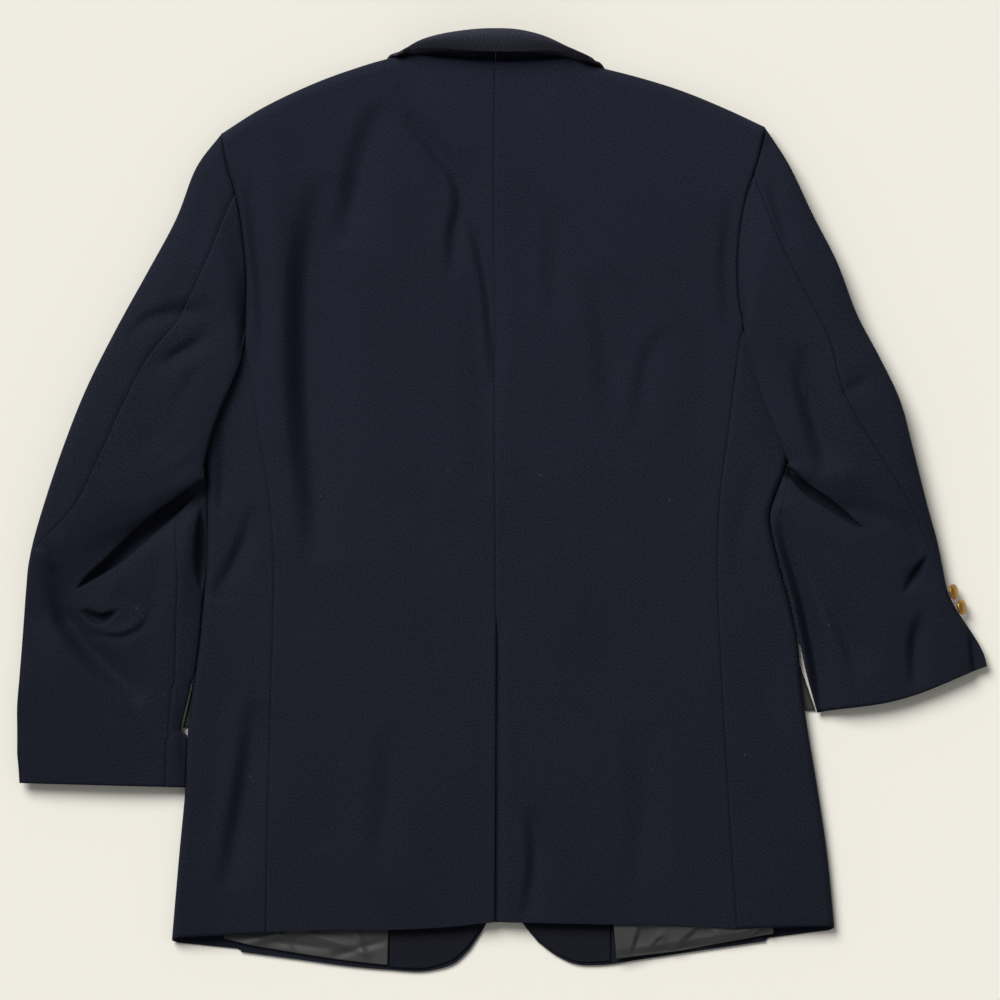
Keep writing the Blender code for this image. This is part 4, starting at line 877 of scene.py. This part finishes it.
def section(side, values, angle, shrink, detail=True):
    """A superellipse on a bowed line across the sleeve: along it as minus the cosine of the angle, and
    up and down as the sine to a power below one, which flattens the ring. Towards the cuff the middle of
    the line also hangs down the picture, as a power of the sine of its share."""
    outer_x, outer_y, inner_x, inner_y, bow, crown, crease, on_body, tuck = values.T[:, :, None]
    way = 1 if side == "left" else -1
    edge = edge_table(EDGE_ROWS, side, inner_y)
    gap = way * (edge - inner_x)
    low, full_low, full_high, high = CLEAR_OF_BODY[side]
    clear = ease(low, full_low, inner_y) * ease(high, full_high, inner_y)
    inner_x = np.where(gap > TOUCH, edge - way * (TOUCH + (gap - TOUCH) * clear), inner_x)
    span = np.hypot(inner_x - outer_x, inner_y - outer_y)
    share = 0.5 - (0.5 - shrink / span) * np.cos(angle)
    x = outer_x + (inner_x - outer_x) * share + way * bow * 4 * share * (1 - share)
    y = outer_y + (inner_y - outer_y) * share
    hang = CUFF_HANG[side] * ease(*CUFF_HANG_ROWS, inner_y)
    y = y - hang * np.maximum(np.sin(np.pi * share), 0) ** HANG_POWER
    base = sleeve_base(side, x, y, on_body) + tuck * ease(TUCK_SPREAD[1], TUCK_SPREAD[0], share)
    top = crown - crease * ease(*CREASE_SPREAD, share) + folds_at(SLEEVE_FOLDS[side], x, y)
    if detail:
        top = top + folds_at(SLEEVE_CREASES[side], x, y) + bands_at(SLEEVE_BANDS[side], x, y)
        slots, lean = slots_at(SLEEVE_SLOTS[side], x, y)
        top = top + slots + UNEVEN_SLEEVE * np.sin(x / 23 + np.sin(y / 51)) * np.sin(y / 37)
        lean = lean * np.maximum(np.sin(angle), 0)[..., None]
        x, y = x + lean[..., 0], y + lean[..., 1]
    top = np.maximum(top, base + LEAST_SLEEVE)
    middle, half = (top + base) / 2, (top - base) / 2 - shrink
    z = middle + half * np.sign(np.sin(angle)) * np.abs(np.sin(angle)) ** SQUARENESS
    return np.stack([x, y, z], axis=-1)


def armhole_ring(side, angle, shrink):
    """The ring on the armhole curve itself, as high as the back where it meets it."""
    way = -1 if side == "left" else 1
    curve = np.array(ARMHOLE[side], float)
    share = 0.5 - (0.5 - shrink / np.linalg.norm(curve[-1] - curve[0])) * np.cos(angle)
    plan = through(curve, share)
    x, y = plan[..., 0] + way * 2 * SEAM_GAP, plan[..., 1]
    base = sleeve_base(side, x, y, 1.0)
    top = np.maximum(body_height(x, y) - RING_DROP, base + LEAST_SLEEVE)
    middle, half = (top + base) / 2, (top - base) / 2 - shrink
    z = middle + half * np.sign(np.sin(angle)) * np.abs(np.sin(angle)) ** SQUARENESS
    return np.stack([x, y, z], axis=-1)


def seam_angles(side, seam):
    """Angle at which a seam crosses each row: that of the section line's point nearest to the seam."""
    rows = np.arange(len(SLEEVE_ROWS[side]))
    angle = np.linspace(0, np.pi, 361)[None] * np.ones((len(rows), 1))
    line = section(side, sleeve_values(side, rows), angle, 0.0, False)[..., :2]
    curve = through(seam, np.linspace(0, 1, 400))
    gaps = np.linalg.norm(line[:, :, None] - curve[None, None], axis=3).min(axis=2)
    return angle[rows, gaps.argmin(axis=1)]


# %% The sleeve pieces
SLEEVE_GRID = {"under_sleeve_": 84, "top_sleeve_": 96}
ROWS_PER_SECTION, ELBOW_ROWS_PER_SECTION = 9, 20
ELBOW_SECTIONS = {"left": (6, 14), "right": (7, 14)}
HALF_SEAM_ANGLE, SLEEVE_WIDTH, SLEEVE_SEAM_DEPTH, RING_FADE_ROWS = 0.0012, 130, 1.0, 1.6


def sleeve(side):
    """Both pieces of a sleeve, from the armhole ring to the cuff."""
    number = np.arange(len(SLEEVE_ROWS[side]))
    low, high = ELBOW_SECTIONS[side]
    above = np.arange(0, low, 1 / ROWS_PER_SECTION)
    elbow = np.arange(low, high, 1 / ELBOW_ROWS_PER_SECTION)
    below = np.linspace(high, number[-1], ROWS_PER_SECTION * (number[-1] - high) + 1)
    at = np.concatenate([above, elbow, below])
    hind = smooth_table(number, np.maximum(seam_angles(side, HINDARM_SEAM[side]), LEAST_SEAM_ANGLE), at)
    fore = smooth_table(number, np.minimum(seam_angles(side, FOREARM_SEAM[side]),
                                           np.pi - LEAST_SEAM_ANGLE), at)
    values = sleeve_values(side, at)
    fade = ease(RING_FADE_ROWS, 0, at)[:, None, None]
    for name, columns in SLEEVE_GRID.items():
        share = crowded(SLEEVE_WIDTH, columns)
        if name == "under_sleeve_":
            start, end = hind + HALF_SEAM_ANGLE, fore - HALF_SEAM_ANGLE
        else:
            start, end = fore + HALF_SEAM_ANGLE, hind + 2 * np.pi - HALF_SEAM_ANGLE
        angle = start[:, None] + (end - start)[:, None] * share
        layers = []
        for shrink in (0.0, SLEEVE_SHELL):
            grid = section(side, values, angle, shrink)
            first = section(side, values[:1], angle, shrink)
            grid = grid + (armhole_ring(side, angle, shrink) - first) * fade
            ends = np.minimum(share, 1 - share) * SLEEVE_WIDTH
            grid[..., 2] -= sunk(ends, SLEEVE_SEAM_DEPTH) * np.sin(angle)
            from_ring = np.linalg.norm((grid - grid[:1])[..., :2], axis=2)
            grid[..., 2] -= sunk(from_ring, *ARMHOLE_TRENCH[side]) * np.maximum(np.sin(angle), 0)
            layers.append(grid)
        cuff = np.linalg.norm(layers[0] - layers[0][-1:], axis=2)[:-1, :-1]
        piece = shell(name + side + "_cloth", *layers, (wool, lining), (cuff > HEM_TURN).astype(int))
        lay(piece, name + side)


for side in SIDES:
    sleeve(side)

# %% [markdown]
# ## Collar and stand
#
# The collar leaf stands on its roll line round the neck and turns over, so its edge floats above the
# back and throws a dark line of shadow there. Each row of its table gives the roll line, the middle and
# the edge. Across it the cloth is the parabola through those three places.

# %% Collar
# Columns: roll x, y, z, middle x, y, z, edge x, y, z
COLLAR_ROWS = (
    (-58, 299, 0, -93, 285, 0, -129, 271, 0), (-69, 338, 0, -105, 328, 0, -141, 316, 0),
    (-78, 370, 0, -103, 366, 0, -128, 360, 0), (-81, 388, 0, -95, 386.5, 0, -110, 383, 0),
    (-83, 399.6, 3.1, -93, 398.6, 3.1, -104, 395.8, 3.1), (-83, 403.2, 11, -91.5, 402.5, 11, -100, 400.2, 11),
    (-81, 405.5, 22, -88, 404, 21, -96, 400, 20), (-77, 409, 30, -83.5, 407, 28.8, -91, 402.8, 26),
    (-69, 414, 36, -75, 411, 36, -82, 404.5, 30), (-52, 418.4, 40, -54, 413.5, 41, -58, 405, 33),
    (-28, 421.8, 42.5, -28, 414.5, 44, -29, 403, 34.5), (-7, 422.8, 43, -7, 415, 44.5, -6, 402, 35),
    (14, 421.8, 42.5, 14, 414.5, 44, 16, 402, 34.5), (36, 416.8, 40, 38, 412, 41, 42, 403, 33),
    (56, 408, 36, 61, 405, 36, 67, 400, 30), (65, 402.5, 30, 71.5, 401.3, 28.8, 79.5, 397.5, 26),
    (69, 398.7, 22, 76, 397.5, 21, 84, 394.2, 20), (71, 396, 11, 79, 395.2, 11, 88, 393, 11),
    (71, 391.8, 3.2, 81, 391, 3.2, 92, 388.5, 3.2), (70, 381, 0, 84, 379.3, 0, 98, 376, 0),
    (66, 363, 0, 91, 359, 0, 115, 353, 0), (57, 331, 0, 93, 321, 0, 129, 309, 0),
    (46, 292, 0, 81, 278, 0, 117, 264, 0),
)
# Columns: top x, y, z, seam x, y, z
STAND_ROWS = (
    (-84, 404, 15, -87, 398.2, 6.5), (-76, 407.5, 24, -80, 399.2, 8), (-67, 411.5, 31, -70, 401.6, 8.5),
    (-52, 417.6, 37.5, -54, 403.4, 10), (-28, 421.6, 40, -29, 403.4, 9.5), (-7, 422.4, 40.5, -7, 403.4, 9),
    (14, 421.6, 40, 14, 403.2, 9.5), (36, 415.8, 37.5, 36, 402.4, 10), (53.5, 407, 31, 57, 399, 10),
    (63.5, 402.2, 25, 67, 395.2, 9), (72, 398, 16, 76, 391, 7),
)
COLLAR_GRID, COLLAR_WIDTH = (30, 260), 28
STAND_GRID, STAND_THICKNESS = (14, 80), 1.8


def collar_leaf():
    """The leaf as a parabola across each smooth row, from roll line through its middle to its edge."""
    rows = np.array(COLLAR_ROWS, float)
    at = np.linspace(0, len(rows) - 1, COLLAR_GRID[1])
    roll, mid, edge = np.split(smooth_table(np.arange(len(rows)), rows, at)[:, None], 3, axis=2)
    u = crowded(COLLAR_WIDTH, COLLAR_GRID[0])[None, :, None]
    leaf = roll * (1 - u) * (1 - 2 * u) + mid * 4 * u * (1 - u) + edge * u * (2 * u - 1)
    leaf[..., 2] = np.maximum(leaf[..., 2], 0)
    normals = grid_normals(leaf)
    if normals[len(at) // 2, 0] @ np.array([0, 1, 0.2]) < 0:
        normals = -normals
    made = shell("collar_leaf_cloth", leaf, leaf - COLLAR_SHELL * normals, (painted_light_collar_wool,))
    lay(made, "collar_leaf")


def collar_stand():
    """A straight strip from the roll line down to the neck seam."""
    rows = np.array(STAND_ROWS, float)
    at = np.linspace(0, len(rows) - 1, STAND_GRID[1])
    top, seam = np.split(smooth_table(np.arange(len(rows)), rows, at)[:, None], 2, axis=2)
    u = np.linspace(0, 1, STAND_GRID[0])[None, :, None]
    strip = top * (1 - u) + seam * u
    made = shell("collar_stand_cloth", strip, strip - np.array([0, STAND_THICKNESS, 0]), (painted_light_collar_wool,))
    lay(made, "collar_stand")


collar_leaf()
collar_stand()

# %% [markdown]
# ## Layers that lie flat
#
# Under the fronts lie the lapels and pocket flaps, and inside the hem lie the facings and the lining.
# These are flat layers between four curves. A flap's inner side is grey lining, which peeks out past the
# edges of the body, and the lining at the hem is loose, so it has small wrinkles and lopsided folds.

# %% Flat layers
LAPEL = {
    "left": {"top": ((-58, 292), (-99, 275), (-143, 244)), "inner": ((-58, 292), (-27, 135), (3, -22)),
             "outer": ((-143, 244), (-128, 170), (-92, 85), (-45, 15), (-2, -24))},
    "right": {"top": ((46, 285), (87, 268), (131, 237)), "inner": ((46, 285), (25, 150), (5, 18)),
              "outer": ((131, 237), (117, 165), (82, 82), (40, 28), (10, 15))},
}
FLAP = {
    "left": ((-273, -144), (-126, -142), (-129, -203), (-287, -205)),
    "right": ((262, -131), (112, -129), (115, -190), (282, -190)),
}
FACING = {
    "left": {"inner": ((-12, -360), (-17, -379), (-32, -403), (-45, -414.5)),
             "bottom": ((-45, -414.5), (-66, -421), (-100.5, -421)),
             "outer": ((-100.5, -360), (-100.5, -421))},
    "right": {"inner": ((17, -364), (21, -380), (37, -399), (51, -409)),
              "bottom": ((51, -409), (68, -415.5), (97.5, -415.5)),
              "outer": ((97.5, -364), (97.5, -415.5))},
}
LINING = {
    "left": {"inner": ((-101.5, -360), (-103, -419)),
             "bottom": ((-103, -419), (-146, -414), (-191, -407), (-230, -400), (-250, -395)),
             "outer": ((-250, -360), (-250, -395))},
    "right": {"inner": ((98.5, -360), (103, -413)),
              "bottom": ((103, -413), (128, -410), (160, -406), (200, -398.5), (244, -390.5)),
              "outer": ((244, -360), (244, -390.5))},
}
VENT_STRIP = ((-44, -100), (0, -100), (3, -379), (-46, -383))
LAYER_BOTTOM, LIFT_SHARE = FRONT_WALL + 0.4, 0.9
LAPEL_THICKNESS, FLAP_THICKNESS, FACING_THICKNESS, LINING_THICKNESS = 2.0, 1.9, 1.0, 0.9
UNDERLAP_GAP, UNDERLAP_THICKNESS = 0.6, 1.6
LINING_WRINKLES = {
    "left": ((-236, -402, -180, -386, 4, 1.6), (-214, -396, -160, -404, 3.5, -1.5),
             (-170, -392, -120, -408, 4, 1.8), (-150, -410, -108, -398, 3.5, -1.6),
             (-205, -384, -190, -404, 3, 1.2), (-132, -384, -124, -412, 3.5, 1.4)),
    "right": ((140, -400, 148, -384, 5, 0.6), (186, -402, 200, -380, 5, 0.6), (214, -394, 222, -384, 4, 0.5)),
}
LINING_BANDS = {
    "left": (),
    "right": ((((116, -409), (119, -399), (123, -386), (124, -380)), 3.2, 26, 0.3, 1.7),
              (((134, -403), (140, -396), (146, -392)), 1.8, 22, 0.2, 1.4),
              (((158, -404), (163, -396), (170, -390), (181, -379)), 3.2, 28, 0.3, 1.8),
              (((222, -395), (227, -389), (236, -380)), 2.6, 22, 0.3, 1.6),
              (((96, -409), (128, -405.5), (160, -401), (205, -394), (254, -384)), 4.6, 24, 0.2, 4.0)),
}


def flat_layer(node, plan, bottom, thickness, looks, top_look=0, wrinkles=(), bands=()):
    """A flat layer over a plan grid, lifted by its wrinkles and bands from where they are lowest."""
    x, y = plan[..., 0], plan[..., 1]
    lift = folds_at(wrinkles, x, y) + bands_at(bands, x, y)
    lift -= lift.min()
    under = np.stack([x, y, bottom + LIFT_SHARE * lift], axis=-1)
    over = under + np.array([0, 0, thickness])
    inner_look = np.zeros((plan.shape[0] - 1, plan.shape[1] - 1), int)
    return shell(node + "_cloth", under, over, looks, inner_look + top_look)


def corner_patch(corners, columns, rows):
    """A plan grid between four corners: top inner, top outer, bottom outer, bottom inner."""
    a, b, c, d = corners
    return patch((a, b), (d, c), (a, d), (b, c), np.linspace(0, 1, columns), np.linspace(0, 1, rows))


def edged_patch(edges, columns, rows):
    """A plan grid between named edges, its top straight."""
    top = edges["top"] if "top" in edges else (edges["inner"][0], edges["outer"][0])
    bottom = edges["bottom"] if "bottom" in edges else (edges["inner"][-1], edges["outer"][-1])
    across, down = np.linspace(0, 1, columns), np.linspace(0, 1, rows)
    return patch(top, bottom, edges["inner"], edges["outer"], across, down)


for side in SIDES:
    plan = edged_patch(LAPEL[side], 40, 90)
    lapel = flat_layer("lapel_" + side, plan, 0.0, LAPEL_THICKNESS, (wool,))
    lay(lapel, "lapel_" + side)
    plan = corner_patch(FLAP[side], 60, 30)
    flap = flat_layer("flap_" + side, plan, 0.0, FLAP_THICKNESS, (wool, lining), 1)
    lay(flap, "flap_" + side)
    plan = edged_patch(FACING[side], 50, 50)
    facing = flat_layer("facing_" + side, plan, LAYER_BOTTOM, FACING_THICKNESS, (painted_shade_facing_wool,))
    lay(facing, "facing_" + side)
    plan = edged_patch(LINING[side], 130, 60)
    strip = flat_layer("lining_" + side, plan, LAYER_BOTTOM, LINING_THICKNESS, (lining,), 0,
                       LINING_WRINKLES[side], LINING_BANDS[side])
    lay(strip, "lining_" + side)

vent_plan = corner_patch(VENT_STRIP, 24, 140)
x, y = vent_plan[..., 0], vent_plan[..., 1]
vent_top = np.stack([x, y, body_height(x, y) - BACK_WALL - UNDERLAP_GAP], axis=-1)
underlap = shell("vent_underlap_cloth", vent_top, vent_top - np.array([0, 0, UNDERLAP_THICKNESS]), (wool,))
lay(underlap, "vent_underlap")

# %% [markdown]
# ## Buttons
#
# A blazer button is two brass cups pressed together, with a wire shank behind. Its shape is a profile
# turned round an axis: a dome, a rolled rim and a flat back. Two close the front, and four are on each
# cuff.

# %% Buttons
FRONT_BUTTON, CUFF_BUTTON = (10.0, 4.3, 0.0), (7.0, 4.2, 1.8)  # rim radius, dome height, shank length
FACE_DOWN, FACE_OUT = (0.0, 0.0, -1.0), (0.82, 0.12, 0.56)
BUTTON_PLACES = {
    "front_button_1": (FRONT_BUTTON, (-2, -36, 0), FACE_DOWN),
    "front_button_2": (FRONT_BUTTON, (-2, -140, 0), FACE_DOWN),
    "cuff_button_left_1": (CUFF_BUTTON, (-422, -184, 0), FACE_DOWN),
    "cuff_button_left_2": (CUFF_BUTTON, (-422, -199, 0), FACE_DOWN),
    "cuff_button_left_3": (CUFF_BUTTON, (-422, -214, 0), FACE_DOWN),
    "cuff_button_left_4": (CUFF_BUTTON, (-421, -229, 0), FACE_DOWN),
    "cuff_button_right_1": (CUFF_BUTTON, (408.4, -82.7, 12.3), FACE_OUT),
    "cuff_button_right_2": (CUFF_BUTTON, (415.8, -96.6, 12.0), FACE_OUT),
    "cuff_button_right_3": (CUFF_BUTTON, (412, -121, 0), FACE_DOWN),
    "cuff_button_right_4": (CUFF_BUTTON, (418, -136, 0), FACE_DOWN),
}
# Shares of the radius and of the dome's height, from the middle of the dome round the rim to the back
BUTTON_PROFILE = (
    (0.02, 1.0), (0.2, 0.985), (0.4, 0.94), (0.58, 0.86), (0.72, 0.75), (0.8, 0.66), (0.82, 0.6),
    (0.86, 0.58), (0.93, 0.6), (0.98, 0.54), (1.0, 0.42), (0.98, 0.28), (0.92, 0.18), (0.86, 0.06),
    (0.8, 0.0), (0.3, 0.0),
)
BUTTON_SIDES, SHANK_SHARE = 48, 0.24


def button(name, sizes, place, facing):
    """A profile turned round the button's axis: each ring is its centre plus radius times a circle."""
    radius, dome, shank = sizes
    rings = [(radius * share, dome * rise) for share, rise in BUTTON_PROFILE]
    end = -max(shank, 0.01)
    rings += [(SHANK_SHARE * radius, 0.0), (SHANK_SHARE * radius, end), (0.02, end)]
    turn = np.linspace(0, 2 * np.pi, BUTTON_SIDES, endpoint=False)
    axis = np.asarray(facing, float) / np.linalg.norm(facing)
    beside = np.cross(axis, (0.0, 1.0, 0.0))
    beside /= np.linalg.norm(beside)
    circle = np.cos(turn)[:, None] * beside + np.sin(turn)[:, None] * np.cross(axis, beside)
    size, height = np.array(rings).T
    centres = np.asarray(place, float) + axis * (height - dome)[:, None]
    points = (centres[:, None] + size[:, None, None] * circle).reshape(-1, 3)
    number = np.arange(len(points)).reshape(len(rings), BUTTON_SIDES)
    turned = np.roll(number, -1, axis=1)
    faces = np.stack([number[:-1], number[1:], turned[1:], turned[:-1]], axis=-1).reshape(-1, 4)
    a, b, c = (points[faces[:, n]] for n in range(3))
    if np.einsum("ij,ij->i", a, np.cross(b, c)).sum() < 0:
        faces = faces[:, ::-1]
    obj = finished_mesh(name, points, faces, np.zeros((len(points), 2)), (brass,), np.zeros(len(faces), int))
    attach(obj, "root")
    return obj


for node, (sizes, place, facing) in BUTTON_PLACES.items():
    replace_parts(button(node + "_brass", sizes, place, facing), node)
print("buttons:", len(BUTTON_PLACES))

# %% [markdown]
# ## Floor, light and camera
#
# The blazer lies on a plain pale floor. One large soft light stands above it towards the collar and the
# left sleeve, which gives each fold a lit side and a shaded side, and the pale surroundings fill the rest.
# The camera looks straight down from far away, so that heights hardly shift anything.

# %% Floor
FLOOR_REACH, FLOOR_Z = 6, -0.0005
floor_mesh = bpy.data.meshes.new("floor")
floor_corners = [(-FLOOR_REACH, -FLOOR_REACH, FLOOR_Z), (FLOOR_REACH, -FLOOR_REACH, FLOOR_Z),
                 (FLOOR_REACH, FLOOR_REACH, FLOOR_Z), (-FLOOR_REACH, FLOOR_REACH, FLOOR_Z)]
floor_mesh.from_pydata(floor_corners, [], [(0, 1, 2, 3)])
floor = bpy.data.objects.new("floor", floor_mesh)
bpy.context.scene.collection.objects.link(floor)
floor_finish, _, floor_shader = new_finish("painted_board", 0.6)
floor_shader.inputs["Base Color"].default_value = linear("#edebe4")
floor_mesh.materials.append(floor_finish)

# %% Light and camera
WORLD_STRENGTH = 0.29
scene = bpy.context.scene
scene.view_settings.view_transform = "Standard"
world = bpy.data.worlds.new("studio")
world.use_nodes = True
world.node_tree.nodes["Background"].inputs["Color"].default_value = linear("#fbfaf6")
world.node_tree.nodes["Background"].inputs["Strength"].default_value = WORLD_STRENGTH
scene.world = world


def soft_sun(name, towards, strength, spread_degrees, colour):
    """A distant light that shines along a direction, its shadows softened by how wide it is."""
    data = bpy.data.lights.new(name, "SUN")
    data.energy, data.angle, data.color = strength, np.radians(spread_degrees), linear(colour)[:3]
    light = bpy.data.objects.new(name, data)
    light.rotation_euler = Vector(towards).to_track_quat("-Z", "Y").to_euler()
    scene.collection.objects.link(light)


soft_sun("window", (0.5, -0.69, -0.85), 3.3, 36, "#fffdf8")

FRAME_WIDTH, CAMERA_HEIGHT, SENSOR_MM = 0.9, 12.0, 36.0
camera_data = bpy.data.cameras.new("camera")
camera_data.sensor_width = SENSOR_MM
camera_data.lens = SENSOR_MM * CAMERA_HEIGHT / FRAME_WIDTH
camera = bpy.data.objects.new("camera", camera_data)
camera.location = (-0.0018, -0.00045, CAMERA_HEIGHT)
scene.collection.objects.link(camera)
scene.camera = camera
print("lens:", camera_data.lens, "mm")
